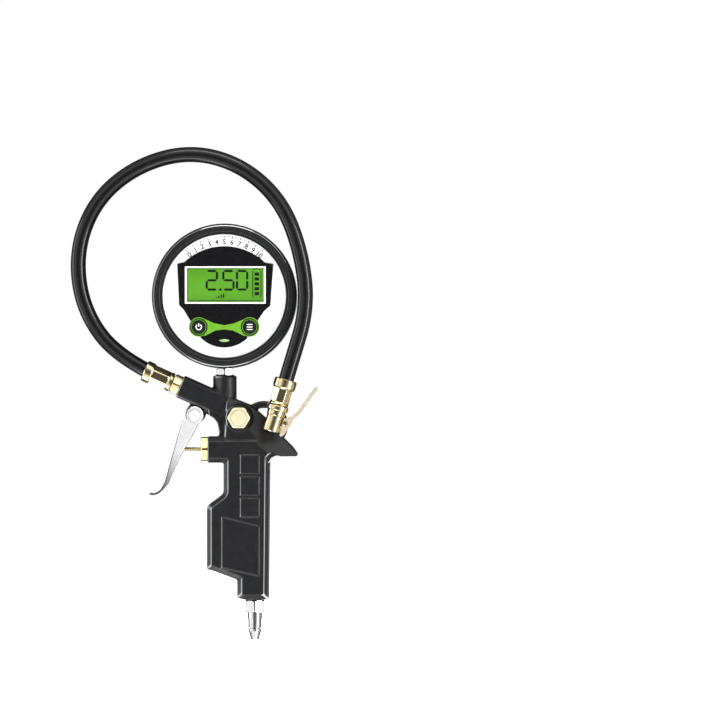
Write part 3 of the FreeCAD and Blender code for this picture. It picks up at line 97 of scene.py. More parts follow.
def make_floor():
    """A pale floor that glows enough to have no horizon, and isn't mirrored in the tool."""
    half = 6.0
    mesh = bpy.data.meshes.new("floor")
    corners = [(-half, -half), (half, -half), (half, half), (-half, half)]
    mesh.from_pydata([(x, y, FLOOR_HEIGHT) for x, y in corners], [], [(0, 1, 2, 3)])
    floor = bpy.data.objects.new("floor", mesh)
    bpy.context.scene.collection.objects.link(floor)
    paint = bpy.data.materials.new("floor_paint")
    paint.use_nodes = True
    shader = paint.node_tree.nodes["Principled BSDF"]
    shader.inputs["Base Color"].default_value = (0.92, 0.92, 0.92, 1)
    shader.inputs["Roughness"].default_value = 0.9
    shader.inputs["Specular IOR Level"].default_value = 0.1
    shader.inputs["Emission Color"].default_value = (1, 1, 1, 1)
    shader.inputs["Emission Strength"].default_value = 0.8
    mesh.materials.append(paint)
    floor.visible_glossy = False
    floor.visible_shadow = False


def mapped(nodes, links, value, low, high, start, end):
    """value from start..end mapped to low..high."""
    node = nodes.new("ShaderNodeMapRange")
    for socket, number in (("From Min", start), ("From Max", end), ("To Min", low), ("To Max", high)):
        node.inputs[socket].default_value = number
    links.new(value, node.inputs["Value"])
    return node.outputs[0]


def studio_bands(rise, softbox_level, softbox_end):
    """Dark, softbox, grey, black flag and wall, as (degrees from the camera's side, part of full light)."""
    return [(0, 0.03), (8, 0.03), (16, 0.07), (30, rise), (38, softbox_level), (softbox_end, softbox_level),
            (softbox_end + 6, 0.15), (108, 0.15), (116, 0.02), (146, 0.02), (158, 0.28), (180, 0.28)]


STUDIO_LEFT = studio_bands(0.14, 0.34, 64)
STUDIO_RIGHT = studio_bands(0.16, 0.42, 66)
STUDIO_STRENGTH = 3.0


def make_world():
    """A white studio, whose light depends on how far a direction turns away from the camera's side.

    The left and the right have their own bands. The camera itself sees plain white."""
    world = bpy.data.worlds.new("studio")
    bpy.context.scene.world = world
    world.use_nodes = True
    nodes, links = world.node_tree.nodes, world.node_tree.links
    nodes.clear()
    place = nodes.new("ShaderNodeTexCoord")
    split = nodes.new("ShaderNodeSeparateXYZ")
    links.new(place.outputs["Generated"], split.inputs[0])
    away = mapped(nodes, links, split.outputs["Y"], 0, 1, -1, 1)
    colours = []
    for bands in (STUDIO_LEFT, STUDIO_RIGHT):
        ramp = nodes.new("ShaderNodeValToRGB")
        ramp.color_ramp.interpolation = "EASE"
        links.new(away, ramp.inputs[0])
        stops = ramp.color_ramp.elements
        while len(stops) > 1:
            stops.remove(stops[-1])
        for number, (degrees, level) in enumerate(bands):
            at = (1 - math.cos(math.radians(degrees))) / 2
            stop = stops[0] if number == 0 else stops.new(at)
            stop.position = at
            stop.color = (level, level, level, 1)
        colours.append(ramp.outputs["Color"])
    sides = nodes.new("ShaderNodeMix")
    sides.data_type = "RGBA"
    links.new(mapped(nodes, links, split.outputs["X"], 0, 1, -0.3, 0.3), sides.inputs["Factor"])
    links.new(colours[0], sides.inputs["A"])
    links.new(colours[1], sides.inputs["B"])
    studio = nodes.new("ShaderNodeBackground")
    studio.inputs["Strength"].default_value = STUDIO_STRENGTH
    links.new(sides.outputs["Result"], studio.inputs["Color"])
    white = nodes.new("ShaderNodeBackground")
    white.inputs["Color"].default_value = (1, 1, 1, 1)
    path = nodes.new("ShaderNodeLightPath")
    mix = nodes.new("ShaderNodeMixShader")
    links.new(path.outputs["Is Camera Ray"], mix.inputs[0])
    links.new(studio.outputs[0], mix.inputs[1])
    links.new(white.outputs[0], mix.inputs[2])
    out = nodes.new("ShaderNodeOutputWorld")
    links.new(mix.outputs[0], out.inputs["Surface"])


def softbox(name, place, aim, wide, tall, power):
    data = bpy.data.lights.new(name, "AREA")
    data.shape = "RECTANGLE"
    data.size, data.size_y, data.energy = wide, tall, power
    lamp = bpy.data.objects.new(name, data)
    lamp.location = place
    lamp.rotation_euler = (Vector(aim) - Vector(place)).to_track_quat("-Z", "Y").to_euler()
    lamp.visible_camera = False
    bpy.context.scene.collection.objects.link(lamp)
    return lamp


# The lamps, all aimed at the tool's middle: name, place, width, height, watts and whether metal mirrors it.
LAMPS = [
    ("right_strip", (1.45, -0.98, 0.30), 0.26, 1.5, 14, True),
    ("left_wall", (-1.9, -0.1, 0.1), 0.50, 1.7, 9, True),
    ("under_left", (-0.75, -0.1, -1.45), 0.45, 0.6, 6, True),
    ("top_sheet", (0.0, -0.96, 2.15), 1.5, 0.50, 11, True),
    ("under_sheet", (-0.35, -0.96, -1.80), 2.1, 0.50, 10, True),
    ("front_fill", (0.1, -2.3, 0.7), 1.6, 1.6, 12, False),
]


def make_lights():
    aim = (CAD_LOW + CAD_HIGH) / 2
    for name, place, wide, tall, watts, mirrored in LAMPS:
        softbox(name, place, aim, wide, tall, watts).visible_glossy = mirrored


# ---------------------------------------------------------------- materials

class Paint:
    """A Principled material under construction: textures in the object's own metres drive its sockets."""

    def __init__(self, name, **flat):
        self.material = bpy.data.materials.new(name)
        self.material.use_nodes = True
        self.nodes = self.material.node_tree.nodes
        self.links = self.material.node_tree.links
        self.shader = self.nodes["Principled BSDF"]
        for socket, value in flat.items():
            self.shader.inputs[socket.replace("_", " ")].default_value = value
        self.place = self.nodes.new("ShaderNodeTexCoord").outputs["Object"]
        self.normal = None

    def stretched(self, scale, turn=(0, 0, 0)):
        """The object's coordinates, turned and scaled."""
        mapping = self.nodes.new("ShaderNodeMapping")
        mapping.vector_type = "TEXTURE"
        mapping.inputs["Rotation"].default_value = turn
        self.links.new(self.place, mapping.inputs["Vector"])
        mapping.inputs["Scale"].default_value = [1 / s for s in scale]
        return mapping.outputs["Vector"]

    def noise(self, size, detail=2.0, place=None):
        """Cloudy grain whose spots are about size metres across."""
        texture = self.nodes.new("ShaderNodeTexNoise")
        texture.inputs["Scale"].default_value = 1 / size
        texture.inputs["Detail"].default_value = detail
        self.links.new(place or self.place, texture.inputs["Vector"])
        return texture.outputs["Fac"]

    def spread(self, value, low, high, start=0.3, end=0.7):
        """value from start..end mapped to low..high."""
        return mapped(self.nodes, self.links, value, low, high, start, end)

    def blend(self, value, one, other, start=0.3, end=0.7):
        """A colour between one and other, by value."""
        ramp = self.nodes.new("ShaderNodeValToRGB")
        ramp.color_ramp.elements[0].position, ramp.color_ramp.elements[0].color = start, (*one, 1)
        ramp.color_ramp.elements[1].position, ramp.color_ramp.elements[1].color = end, (*other, 1)
        self.links.new(value, ramp.inputs[0])
        return ramp.outputs["Color"]

    def mix(self, value, one, other):
        """one where value is 0 and other where it is 1."""
        node = self.nodes.new("ShaderNodeMix")
        node.data_type = "RGBA"
        self.links.new(value, node.inputs["Factor"])
        self.links.new(one, node.inputs["A"])
        self.links.new(other, node.inputs["B"])
        return node.outputs["Result"]

    def flat(self, colour):
        """One even colour."""
        node = self.nodes.new("ShaderNodeRGB")
        node.outputs[0].default_value = (*colour, 1)
        return node.outputs[0]

    def product(self, *values):
        total = values[0]
        for value in values[1:]:
            node = self.nodes.new("ShaderNodeMath")
            node.operation = "MULTIPLY"
            self.links.new(total, node.inputs[0])
            self.links.new(value, node.inputs[1])
            total = node.outputs[0]
        return total

    def sharpness(self):
        """High on convex edges and low in creases."""
        return self.nodes.new("ShaderNodeNewGeometry").outputs["Pointiness"]

    def open_to_light(self, reach):
        """Near 1 on open surfaces and low in corners tighter than about reach metres."""
        node = self.nodes.new("ShaderNodeAmbientOcclusion")
        node.samples = 8
        node.inputs["Distance"].default_value = reach
        return node.outputs["AO"]

    def facing(self):
        """The direction that the surface faces."""
        return self.nodes.new("ShaderNodeNewGeometry").outputs["Normal"]

    def parts(self, vector):
        """The X, Y and Z sockets of a vector."""
        node = self.nodes.new("ShaderNodeSeparateXYZ")
        self.links.new(vector, node.inputs[0])
        return node.outputs

    def towards(self, direction):
        """1 where the surface faces along direction, and less as it turns away."""
        node = self.nodes.new("ShaderNodeVectorMath")
        node.operation = "DOT_PRODUCT"
        node.inputs[1].default_value = direction
        self.links.new(self.facing(), node.inputs[0])
        return node.outputs["Value"]

    def set(self, socket, value):
        self.links.new(value, self.shader.inputs[socket])

    def bump(self, height, depth):
        """Relief of about depth metres, added to what is there."""
        node = self.nodes.new("ShaderNodeBump")
        node.inputs["Strength"].default_value = 1.0
        node.inputs["Distance"].default_value = depth
        self.links.new(height, node.inputs["Height"])
        if self.normal:
            self.links.new(self.normal, node.inputs["Normal"])
        self.normal = node.outputs["Normal"]
        self.links.new(self.normal, self.shader.inputs["Normal"])


def black_casting():
    """Fine-grained black powder coat, dull in the corners.

    Its base colour carries painted highlights: light along the finger side's left-facing edges and along the
    back strap's edge below the head, where lamps would shine."""
    paint = Paint("black_casting")
    cloud = paint.noise(6 * MM, 3)
    facing, spot = paint.parts(paint.facing()), paint.parts(paint.place)
    edge = paint.spread(paint.sharpness(), 0, 1, 0.503, 0.520)
    # painted highlights: masks for the finger side's left-facing edges and for the back strap's edge below
    # the head
    finger_side_highlight = paint.product(edge, paint.spread(facing["X"], 1, 0, -0.62, -0.20),
                                paint.spread(facing["Y"], 1, 0, -0.70, -0.45))
    behind = paint.spread(spot["X"], 0, 1, 4.2 * MM, 4.8 * MM)
    below_head = paint.spread(spot["Z"], 1, 0, 103.5 * MM, 105.0 * MM)
    back_strap_highlight = paint.product(paint.spread(paint.sharpness(), 0, 1, 0.508, 0.530), behind, below_head,
                               paint.spread(paint.towards((0.707, 0, -0.707)), 0, 1, 0.16, 0.30),
                               paint.spread(facing["Y"], 1, 0, -0.60, -0.42))
    plain = paint.blend(cloud, (0.0050, 0.0052, 0.0060), (0.0082, 0.0085, 0.0096))
    # the light greys of these painted highlights, the second one for the back strap's edge
    finger_highlight_grey = paint.blend(cloud, (0.38, 0.385, 0.39), (0.46, 0.465, 0.47))
    pale = paint.blend(cloud, (0.50, 0.505, 0.51), (0.58, 0.585, 0.59))
    paint.set("Base Color", paint.mix(back_strap_highlight, paint.mix(finger_side_highlight, plain, finger_highlight_grey), pale))
    dulled = paint.product(edge, paint.spread(facing["X"], 0, 1, 0.10, 0.35))
    in_the_open = paint.spread(paint.open_to_light(2.2 * MM), 0.04, 1, 0.72, 0.99)
    paint.set("Specular IOR Level", paint.product(in_the_open, paint.spread(dulled, 0.46, 0.05, 0, 1)))
    paint.set("Roughness", paint.spread(paint.noise(2.0 * MM, 3), 0.33, 0.43))
    paint.bump(paint.noise(0.6 * MM, 3), 0.045 * MM)
    return paint.material


def polished(name, dark, light, rough, turn=None, grain=0.0015 * MM, metallic=1.0, corner=0.9 * MM):
    """Polished metal with painted shade: its base colour darkens in corners tighter than corner. It has tool
    marks round the turned axis, if any.
    """
    paint = Paint(name, Metallic=metallic)
    shadow = paint.flat([0.12 * part for part in dark])
    # painted shade: a dark copy of the metal fills corners tighter than corner
    unshaded_mask = paint.spread(paint.open_to_light(corner), 0, 1, 0.35, 0.85)
    paint.set("Base Color", paint.mix(unshaded_mask, shadow, paint.blend(paint.noise(3 * MM, 3), dark, light)))
    paint.set("Roughness", paint.spread(paint.noise(1.2 * MM, 4), rough * 0.85, rough * 1.2))
    if turn is not None:
        rings = paint.stretched((60, 60, 5200), turn)
        paint.bump(paint.noise(1.0, 3, rings), 0.003 * MM)
    paint.bump(paint.noise(1.6 * MM, 2), grain)
    return paint.material


def lever_chrome():
    """Brushed chrome on the trigger, with painted shade: its base colour darkens towards the tip and turns
    dark along the rounded front edge as a painted dark reflection.
    """
    paint = Paint("lever_chrome", Metallic=0.6)
    low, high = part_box("trigger_lever")
    up = paint.spread(paint.parts(paint.place)["Z"], 0, 1, low.z, high.z)
    # painted shade: the base colour darkens towards the tip, at the bottom
    body = paint.blend(up, (0.10, 0.10, 0.10), (0.83, 0.83, 0.84), 0.05, 0.50)
    # painted dark reflection along the rounded front edge
    dark_reflection_mask = paint.spread(paint.towards((-0.68, -0.707, 0.19)), 0, 1, 0.80, 0.90)
    paint.set("Base Color", paint.mix(dark_reflection_mask, body, paint.flat((0.03, 0.03, 0.03))))
    paint.set("Roughness", paint.spread(paint.noise(1.2 * MM, 4), 0.34, 0.46))
    paint.bump(paint.noise(1.6 * MM, 2), 0.0006 * MM)
    return paint.material


def rubber(name, dark, light, low_rough, high_rough, grain, depth):
    paint = Paint(name)
    paint.set("Base Color", paint.blend(paint.noise(5 * MM, 3), dark, light))
    paint.set("Roughness", paint.spread(paint.noise(3 * MM, 4), low_rough, high_rough))
    paint.bump(paint.noise(grain, 3), depth)
    return paint.material


def glossy_bead():
    """The boot's polished outer lip, which mirrors the lights above and below as a thin line."""
    paint = Paint("boot_bead", Specular_IOR_Level=1.0, IOR=2.0)
    paint.set("Base Color", paint.blend(paint.noise(5 * MM, 3), (0.004, 0.004, 0.0045),
                                        (0.006, 0.006, 0.0066)))
    paint.set("Roughness", paint.spread(paint.noise(3 * MM, 3), 0.07, 0.11))
    return paint.material


def moulded(name, dark, light, rough, grain=0.3 * MM, depth=0.015 * MM, gloss=0.5):
    """Moulded or printed plastic with a fine even texture."""
    paint = Paint(name, Specular_IOR_Level=gloss)
    paint.set("Base Color", paint.blend(paint.noise(4 * MM, 2), dark, light))
    paint.set("Roughness", paint.spread(paint.noise(2 * MM, 3), rough * 0.85, rough * 1.2))
    paint.bump(paint.noise(grain, 2), depth)
    return paint.material


def lit_green():
    """The backlit display: an even green that glows a little, with faint cloudy changes in tone."""
    paint = Paint("lcd_green", Specular_IOR_Level=0.3, Emission_Strength=0.40)
    cloud = paint.noise(14 * MM, 1)
    paint.set("Base Color", paint.blend(cloud, (0.100, 0.36, 0.014), (0.125, 0.42, 0.02)))
    paint.set("Emission Color", paint.blend(cloud, (0.10, 0.40, 0.012), (0.13, 0.46, 0.018)))
    paint.set("Roughness", paint.spread(paint.noise(2 * MM, 2), 0.3, 0.4))
    return paint.material


def clear_glass():
    """A thin clear window: what lies behind it shows, under a mirror-like skin."""
    material = bpy.data.materials.new("clear_lens")
    material.use_nodes = True
    nodes, links = material.node_tree.nodes, material.node_tree.links
    gloss = nodes["Principled BSDF"]
    gloss.inputs["Base Color"].default_value = (0.02, 0.02, 0.02, 1)
    clear = nodes.new("ShaderNodeBsdfTransparent")
    fresnel = nodes.new("ShaderNodeFresnel")
    fresnel.inputs["IOR"].default_value = 1.3
    place = nodes.new("ShaderNodeTexCoord")
    smear = nodes.new("ShaderNodeTexNoise")
    smear.inputs["Scale"].default_value = 1 / (6 * MM)
    links.new(place.outputs["Object"], smear.inputs["Vector"])
    links.new(mapped(nodes, links, smear.outputs["Fac"], 0.02, 0.07, 0, 1), gloss.inputs["Roughness"])
    mix = nodes.new("ShaderNodeMixShader")
    links.new(fresnel.outputs[0], mix.inputs[0])
    links.new(clear.outputs[0], mix.inputs[1])
    links.new(gloss.outputs[0], mix.inputs[2])
    links.new(mix.outputs[0], nodes["Material Output"].inputs["Surface"])
    return material


GOLD_DARK, GOLD_LIGHT = (0.80, 0.66, 0.35), (0.93, 0.81, 0.51)


def make_materials():
    chuck_tilt = math.radians(16.6)
    outlet_tilt = math.radians(-66.0)
    return {
        "black_casting": black_casting(),
        "chrome_plate": polished("chrome_plate", (0.80, 0.81, 0.82), (0.90, 0.90, 0.91), 0.10, (0, 0, 0)),
        "satin_chrome": polished("satin_chrome", (0.92, 0.92, 0.93), (0.97, 0.97, 0.98), 0.40, None,
                                 0.0006 * MM, 0.6),
        "lever_chrome": lever_chrome(),
        "pale_brass": polished("pale_brass", GOLD_DARK, GOLD_LIGHT, 0.18),
        "brass_x": polished("brass_along_x", (0.50, 0.42, 0.18), (0.62, 0.53, 0.25), 0.26,
                            (0, math.pi / 2, 0)),
        "brass_y": polished("brass_along_y", (0.86, 0.78, 0.50), (0.93, 0.85, 0.58), 0.34,
                            (math.pi / 2, 0, 0), metallic=0.5, corner=2.0 * MM),
        "brass_outlet": polished("brass_outlet", GOLD_DARK, GOLD_LIGHT, 0.13, (0, outlet_tilt, 0)),
        "brass_chuck": polished("brass_chuck", GOLD_DARK, GOLD_LIGHT, 0.13, (0, chuck_tilt, 0)),
        "brass_lever": polished("brass_lever", (0.90, 0.76, 0.54), (0.98, 0.88, 0.70), 0.36, None,
                                0.0003 * MM, 0.75),
        "bright_steel": polished("bright_steel", (0.55, 0.56, 0.57), (0.68, 0.68, 0.69), 0.24),
        "seal_rubber": rubber("seal_rubber", (0.008, 0.008, 0.008), (0.018, 0.018, 0.018), 0.5, 0.7,
                              0.4 * MM, 0.02 * MM),
        "hose_rubber": rubber("hose_rubber", (0.0030, 0.0030, 0.0034), (0.0052, 0.0052, 0.0057),
                              0.15, 0.21, 1.1 * MM, 0.006 * MM),
        "boot_rubber": rubber("boot_rubber", (0.0062, 0.0066, 0.0078), (0.0092, 0.0098, 0.0112),
                              0.28, 0.36, 0.5 * MM, 0.006 * MM),
        "boot_bead": glossy_bead(),
        "case_plastic": moulded("case_plastic", (0.006, 0.006, 0.0065), (0.011, 0.011, 0.0115), 0.45,
                                0.5 * MM, 0.02 * MM),
        "button_plastic": moulded("button_plastic", (0.004, 0.006, 0.005), (0.006, 0.009, 0.007), 0.32),
        "dial_white": moulded("dial_white", (0.86, 0.865, 0.86), (0.90, 0.905, 0.90), 0.45,
                              0.6 * MM, 0.004 * MM),
        "panel_black": moulded("panel_black", (0.0030, 0.0030, 0.0040), (0.0046, 0.0044, 0.0054), 0.30,
                               3 * MM, 0.001 * MM, 0.25),
        "trim_green": moulded("trim_green", (0.11, 0.31, 0.012), (0.14, 0.37, 0.018), 0.40,
                              2 * MM, 0.002 * MM, 0.25),
        "led_lens": moulded("led_lens", (0.17, 0.38, 0.11), (0.38, 0.60, 0.27), 0.12,
                            2.2 * MM, 0.004 * MM),
        "lcd_rim": moulded("lcd_rim", (0.88, 0.90, 0.86), (0.92, 0.94, 0.90), 0.35, 1 * MM, 0.004 * MM),
        "clear_lens": clear_glass(),
        "lcd_green": lit_green(),
        "lcd_shade": moulded("lcd_shade", (0.030, 0.110, 0.012), (0.040, 0.140, 0.018), 0.5),
        "lcd_faint_shade": moulded("lcd_faint_shade", (0.075, 0.260, 0.018), (0.090, 0.300, 0.022), 0.5),
        "segment_black": moulded("segment_black", (0.002, 0.006, 0.002), (0.004, 0.010, 0.004), 0.5),
        "board_green": moulded("board_green", (0.01, 0.09, 0.03), (0.02, 0.14, 0.05), 0.4),
        "switch_black": moulded("switch_black", (0.02, 0.02, 0.02), (0.03, 0.03, 0.03), 0.5),
        "cell_wrap": moulded("cell_wrap", (0.10, 0.12, 0.35), (0.14, 0.16, 0.42), 0.25, 3 * MM, 0.01 * MM),
    }


SLOT_OF = {row["node"]: row["material_slot"] for row in frame["record"]["subparts"]}


# A node whose finish is more particular than its slot's.
SPECIAL_FINISH = {
    "valve_gland_nut": "brass_x", "valve_stem": "brass_x", "junction_plug": "brass_y",
    "outlet_fitting": "brass_outlet", "outlet_ferrule": "brass_outlet", "chuck_body": "brass_chuck",
    "chuck_adapter": "brass_chuck", "chuck_ferrule": "brass_chuck", "chuck_lever": "brass_lever",
    "trigger_lever": "lever_chrome", "trigger_pivot_pin": "satin_chrome", "lcd_frame": "lcd_rim",
}

# How wide the softened edge of a node is, where it isn't the usual one.
USUAL_EDGE = 0.15 * MM
SPECIAL_EDGE = {"trigger_lever": 0.7 * MM, "chuck_lever": 0.3 * MM}


# An edge sharper than this is softened. A wide bevel isn't clamped, or a short edge would thin it.
SHARP_DEGREES = 30
WIDE_EDGE = 0.6 * MM


def drop_stored(mesh, *names):
    """Removes the named attributes that the mesh has, so that its shading is worked out again."""
    for name in names:
        if name in mesh.attributes:
            mesh.attributes.remove(mesh.attributes[name])


def soften(thing, width):
    """Small bevels on a piece's edges, which catch the light, with smooth faces between them."""
    mesh = thing.data
    drop_stored(mesh, "custom_normal", "sharp_edge")
    mesh.shade_smooth()
    weld = thing.modifiers.new("weld", "WELD")
    weld.merge_threshold = 0.002 * MM
    bevel = thing.modifiers.new("bevel", "BEVEL")
    bevel.width = width
    bevel.segments = 2
    bevel.limit_method = "ANGLE"
    bevel.angle_limit = math.radians(SHARP_DEGREES)
    bevel.harden_normals = False
    bevel.use_clamp_overlap = width < WIDE_EDGE
    normals = thing.modifiers.new("normals", "WEIGHTED_NORMAL")
    normals.keep_sharp = False
    normals.weight = 90


def finish_nodes(materials):
    for name, thing in NODES.items():
        finish = SPECIAL_FINISH.get(name, SLOT_OF[name])
        thing.data.materials.clear()
        thing.data.materials.append(materials[finish])


# ---------------------------------------------------------------- new pieces

def add_piece(name, mesh, body, material):
    piece = bpy.data.objects.new(name, mesh)
    bpy.context.scene.collection.objects.link(piece)
    mesh.materials.clear()
    mesh.materials.append(material)
    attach(piece, body)
    return piece


def mesh_from(work, name):
    """The bmesh as a mesh whose faces all point outwards."""
    bmesh.ops.recalc_face_normals(work, faces=work.faces)
    mesh = bpy.data.meshes.new(name)
    work.to_mesh(mesh)
    work.free()
    return mesh


CASTING_VOXEL = 0.58 * MM


def cast_body(material):
    """The casting with soft fillets in every corner, as it comes from the mould."""
    mesh = NODES["gun_body"].data.copy()
    mesh.name = "casting"
    casting = add_piece("casting", mesh, "gun", material)
    drop_stored(mesh, "custom_normal")
    voxels = casting.modifiers.new("voxels", "REMESH")
    voxels.mode = "VOXEL"
    voxels.voxel_size = CASTING_VOXEL
    voxels.use_smooth_shade = True
    smooth = casting.modifiers.new("smooth", "SMOOTH")
    smooth.factor = 0.5
    smooth.iterations = 2
    bpy.context.view_layer.update()
    depsgraph = bpy.context.evaluated_depsgraph_get()
    shaped = bpy.data.meshes.new_from_object(casting.evaluated_get(depsgraph))
    casting.modifiers.clear()
    casting.data = shaped
    shaped.materials.clear()
    shaped.materials.append(material)
    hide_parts("gun_body")


HOSE_RADIUS = 5.0 * MM
# The hose's free line, from inside the outlet ferrule to inside the chuck ferrule.
HOSE_ROUTE = [
    (-0.0566, 0.0, 0.15015), (-0.0880, 0.0, 0.16413), (-0.1115, -0.0005, 0.1950),
    (-0.1165, -0.0015, 0.2335), (-0.1035, -0.0030, 0.2675), (-0.0760, -0.0050, 0.2900),
    (-0.0415, -0.0075, 0.2990), (-0.0085, -0.0100, 0.2900), (0.0175, -0.0125, 0.2665),
    (0.0305, -0.0150, 0.2330), (0.0345, -0.0162, 0.1970), (0.0233, -0.0168, 0.1598),
    (0.0160, -0.0168, 0.1354),
]


def air_hose(material):
    """One smooth loop from the outlet to the chuck."""
    curve = bpy.data.curves.new("hose", "CURVE")
    curve.dimensions = "3D"
    line = curve.splines.new("NURBS")
    line.points.add(len(HOSE_ROUTE) - 1)
    for point, place in zip(line.points, HOSE_ROUTE):
        point.co = (*place, 1)
    line.order_u = 3
    line.use_endpoint_u = True
    line.resolution_u = 14
    curve.bevel_depth = HOSE_RADIUS
    curve.bevel_resolution = 9
    curve.use_fill_caps = True
    curve.materials.append(material)
    hose = bpy.data.objects.new("hose", curve)
    bpy.context.scene.collection.objects.link(hose)
    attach(hose, "gun")
    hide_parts("air_hose")


def prism_mesh(name, outlines, back, front):
    """Flat outlines in the dial's plane, given as (x, z) from the gauge's centre, between two y planes."""
    work = bmesh.new()
    for outline in outlines:
        low = [work.verts.new((GAUGE.x + x, back, GAUGE.z + z)) for x, z in outline]
        high = [work.verts.new((GAUGE.x + x, front, GAUGE.z + z)) for x, z in outline]
        work.faces.new(low)
        work.faces.new(high)
        for n in range(len(outline)):
            m = (n + 1) % len(outline)
            work.faces.new((low[n], low[m], high[m], high[n]))
    return mesh_from(work, name)


def arc(r, d, radius, start, stop, steps=8):
    """Profile points round (r, d), from one direction to another in degrees, 0 outwards and 90 forwards."""
    angles = [math.radians(start + (stop - start) * n / steps) for n in range(steps + 1)]
    return [(r + radius * math.cos(a), d + radius * math.sin(a)) for a in angles]


def boot_profile():
    """The boot's section in millimetres, as (radius, distance in front of the gauge's middle)."""
    back = arc(42.1, -11.2, 4.8, -90, 0)
    ribs = []
    for low in (-7.5, -3.5, 0.5, 4.5):
        ribs += [(46.9, low - 0.25), (46.45, low), (46.45, low + 1.2), (46.9, low + 1.45)]
    bead = arc(44.21, 11.34, 2.7, 4, 50, 10) + arc(42.667, 9.0, 5.5, 54, 62, 5) \
        + arc(45.1, 13.65, 0.25, 66, 90, 4)
    groove = [(45.0, 12.2), (44.46, 12.2)]
    band = arc(43.955, 14.617, 0.5, 0, 76, 5) + arc(43.0, 9.2, 6.0, 80, 100, 10) \
        + arc(42.045, 14.617, 0.5, 104, 180, 5)
    inside = [(41.4, 13.4), (41.3, 12.7), (43.6, 12.7), (43.6, -13.4), (40.0, -13.4), (40.0, -16.0)]
    return back + ribs + bead + groove + band + inside


def gauge_boot(materials):
    """The rubber boot: a ribbed wall, a glossy outer bead, a groove and a broad satin band."""
    profile = boot_profile()
    steps = 240
    work = bmesh.new()
    rings, shine = [], []
    for n in range(steps):
        a = 2 * math.pi * n / steps
        rings.append([work.verts.new((GAUGE.x + r * MM * math.sin(a), -d * MM,
                                      GAUGE.z + r * MM * math.cos(a))) for r, d in profile])
    count = len(profile)
    for ring, following in zip(rings, rings[1:] + rings[:1]):
        for n in range(count):
            m = (n + 1) % count
            work.faces.new((ring[n], ring[m], following[m], following[n]))
            # only the bead's front, between its crown and the groove, is polished
            shine.append(44.95 < profile[n][0] < 46.0 and profile[n][1] > 9.0 and profile[m][1] > 12.5)
    mesh = mesh_from(work, "gauge_boot")
    mesh.shade_smooth()
    mesh.set_sharp_from_angle(angle=math.radians(38))
    boot = add_piece("gauge_boot", mesh, "gun", materials["boot_rubber"])
    mesh.materials.append(materials["boot_bead"])
    mesh.polygons.foreach_set("material_index", shine)
    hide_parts("rubber_boot")


def led_lens(material, seat_material):
    """A lens-shaped light with a domed front, in a black seat."""
    low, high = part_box("status_led")
    centre, half = (low + high) / 2, (high - low) / 2
    across, around = 24, 10
    work = bmesh.new()
    rows = []
    for n in range(across + 1):
        u = -1 + 2 * n / across
        tall = half.z * (1 - u * u)
        rise = 0.6 * MM * math.sqrt(max(1 - u * u, 0))
        row = []
        for m in range(around + 1):
            a = math.pi * m / around
            row.append(work.verts.new((centre.x + u * half.x, high.y - rise * math.sin(a) - 0.5 * MM,
                                       centre.z + tall * math.cos(a))))
        rows.append(row)
    for row, following in zip(rows, rows[1:]):
        for m in range(around):
            work.faces.new((row[m], row[m + 1], following[m + 1], following[m]))
        work.faces.new((row[0], following[0], following[around], row[around]))
    bmesh.ops.remove_doubles(work, verts=work.verts, dist=0.001 * MM)
    mesh = mesh_from(work, "led_lens")
    mesh.shade_smooth()
    mesh.set_sharp_from_angle(angle=math.radians(50))
    lens = add_piece("led_lens", mesh, "gun", material)
    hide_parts("status_led")
    wide, tall = half.x + 0.05 * MM, half.z + 0.08 * MM
    seat = moved(box_outline(-wide, wide, -tall, tall), centre.x - GAUGE.x, centre.z - GAUGE.z)
    mesh = prism_mesh("led_seat", [seat], DIAL_FRONT + 0.1 * MM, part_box("display_panel")[0].y + 0.15 * MM)
    add_piece("led_seat", mesh, "gun", seat_material)


def box_outline(left, right, bottom, top):
    return [(left, bottom), (right, bottom), (right, top), (left, top)]


def display_border(materials):
    """Painted shade of the frame's edge on the display: a dark line near the bottom and faint ones on the
    other sides.
    """
    low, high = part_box("lcd_module")
    face = low.y
    left, right = low.x - GAUGE.x + 0.35 * MM, high.x - GAUGE.x - 0.35 * MM
    bottom, top = low.z - GAUGE.z + 0.8 * MM, high.z - GAUGE.z - 0.35 * MM
    # painted shade cast by the frame's edge on the display
    dark = [box_outline(left, right, bottom, bottom + 0.5 * MM)]
    faint = [box_outline(left, right, top - 0.35 * MM, top),
             box_outline(left, left + 0.3 * MM, bottom, top),
             box_outline(right - 0.3 * MM, right, bottom, top)]
    borders = (("display_line", dark, "lcd_shade"), ("display_edge", faint, "lcd_faint_shade"))
    for name, outlines, finish in borders:
        mesh = prism_mesh(name, outlines, face + 0.02 * MM, face - 0.05 * MM)
        add_piece(name, mesh, "gun", materials[finish])


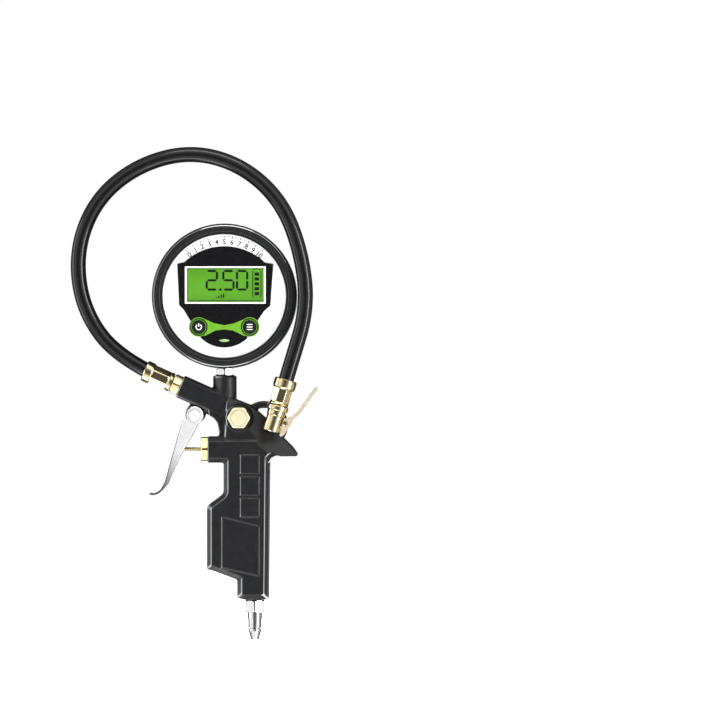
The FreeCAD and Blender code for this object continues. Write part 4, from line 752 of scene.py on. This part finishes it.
def dial_marks(material):
    """A plain scale over the display: an arc of figures under the graduations."""
    rim, reach, step = 38.9 * MM, 40, 2
    figure_radius, figure_size, stroke = 33.6 * MM, 4.5 * MM, 0.10 * MM
    outlines = []
    for n, degrees in enumerate(range(-reach, reach + 1, step)):
        tall, half = (1.3 * MM, 0.28 * MM) if n % 4 == 0 else (0.8 * MM, 0.18 * MM)
        a = math.radians(degrees)
        out, side = Vector((math.sin(a), math.cos(a))), Vector((math.cos(a), -math.sin(a)))
        low, high = out * (rim - tall), out * rim
        outlines.append([low - side * half, low + side * half,
                         high + side * half, high - side * half])
    mesh = prism_mesh("dial_marks", outlines, DIAL_FRONT + 0.02 * MM, DIAL_FRONT - 0.04 * MM)
    add_piece("dial_marks", mesh, "gun", material)
    for n, degrees in enumerate(range(-reach, reach + 1, 4 * step)):
        curve = bpy.data.curves.new("figure", "FONT")
        curve.body = str(n)
        curve.size = figure_size
        curve.offset = stroke
        curve.extrude = 0.03 * MM
        curve.align_x = "CENTER"
        holder = bpy.data.objects.new("figure", curve)
        shape = bpy.data.meshes.new_from_object(holder)
        a = math.radians(degrees)
        turn = Matrix.Rotation(a, 4, "Y") @ Matrix.Rotation(math.pi / 2, 4, "X")
        spot = GAUGE + Vector((math.sin(a), 0, math.cos(a))) * figure_radius
        spot.y = DIAL_FRONT - 0.02 * MM
        shape.transform(Matrix.Translation(spot) @ turn)
        bpy.data.objects.remove(holder)
        add_piece("figure_%02d" % n, shape, "gun", material)


def ring_outline(radius, half, start, stop, steps=40):
    """An arc of a flat ring, in degrees, as one closed outline."""
    angles = [math.radians(start + (stop - start) * n / steps) for n in range(steps + 1)]
    outer = [((radius + half) * math.sin(a), (radius + half) * math.cos(a)) for a in angles]
    inner = [((radius - half) * math.sin(a), (radius - half) * math.cos(a)) for a in angles]
    return outer + inner[::-1]


def moved(outline, x, z):
    return [(px + x, pz + z) for px, pz in outline]


def key_icons(white, green):
    """A power sign on one key and a menu sign on the other, each inside a thin green ring that is a painted
    highlight on the key's rim.
    """
    keys = (("power_button", "power_key", "power"), ("mode_button", "mode_key", "menu"))
    for node, body, name in keys:
        centre = middle(node) - GAUGE
        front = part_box(node)[0].y
        if name == "power":
            half = 0.33 * MM
            shapes = [ring_outline(1.75 * MM, half, 38, 322), box_outline(-half, half, 0.2 * MM, 2.3 * MM)]
        else:
            wide, half = 1.85 * MM, 0.30 * MM
            shapes = [box_outline(-wide, wide, z - half, z + half) for z in (-1.6 * MM, 0, 1.6 * MM)]
        shapes = [moved(s, centre.x, centre.z) for s in shapes]
        mesh = prism_mesh(name + "_sign", shapes, front + 0.25 * MM, front)
        add_piece(name + "_sign", mesh, body, white)
        # a thin green ring on each key's rim: a painted highlight, the trim reflected in the rim's chamfer
        rim_highlight_halves = [moved(ring_outline(4.72 * MM, 0.14 * MM, a, a + 180), centre.x, centre.z)
                  for a in (0, 180)]
        mesh = prism_mesh(name + "_rim_highlight", rim_highlight_halves, front + 0.25 * MM, front - 0.02 * MM)
        add_piece(name + "_rim_highlight", mesh, body, green)


def build():
    materials = make_materials()
    finish_nodes(materials)
    cast_body(materials["black_casting"])
    air_hose(materials["hose_rubber"])
    gauge_boot(materials)
    led_lens(materials["led_lens"], materials["panel_black"])
    for name, thing in NODES.items():
        if not thing.hide_render:
            soften(thing, SPECIAL_EDGE.get(name, USUAL_EDGE))
    display_border(materials)
    dial_marks(materials["segment_black"])
    key_icons(materials["dial_white"], materials["trim_green"])


bpy.context.scene.view_settings.view_transform = "Standard"
make_camera()
make_floor()
make_world()
make_lights()
build()
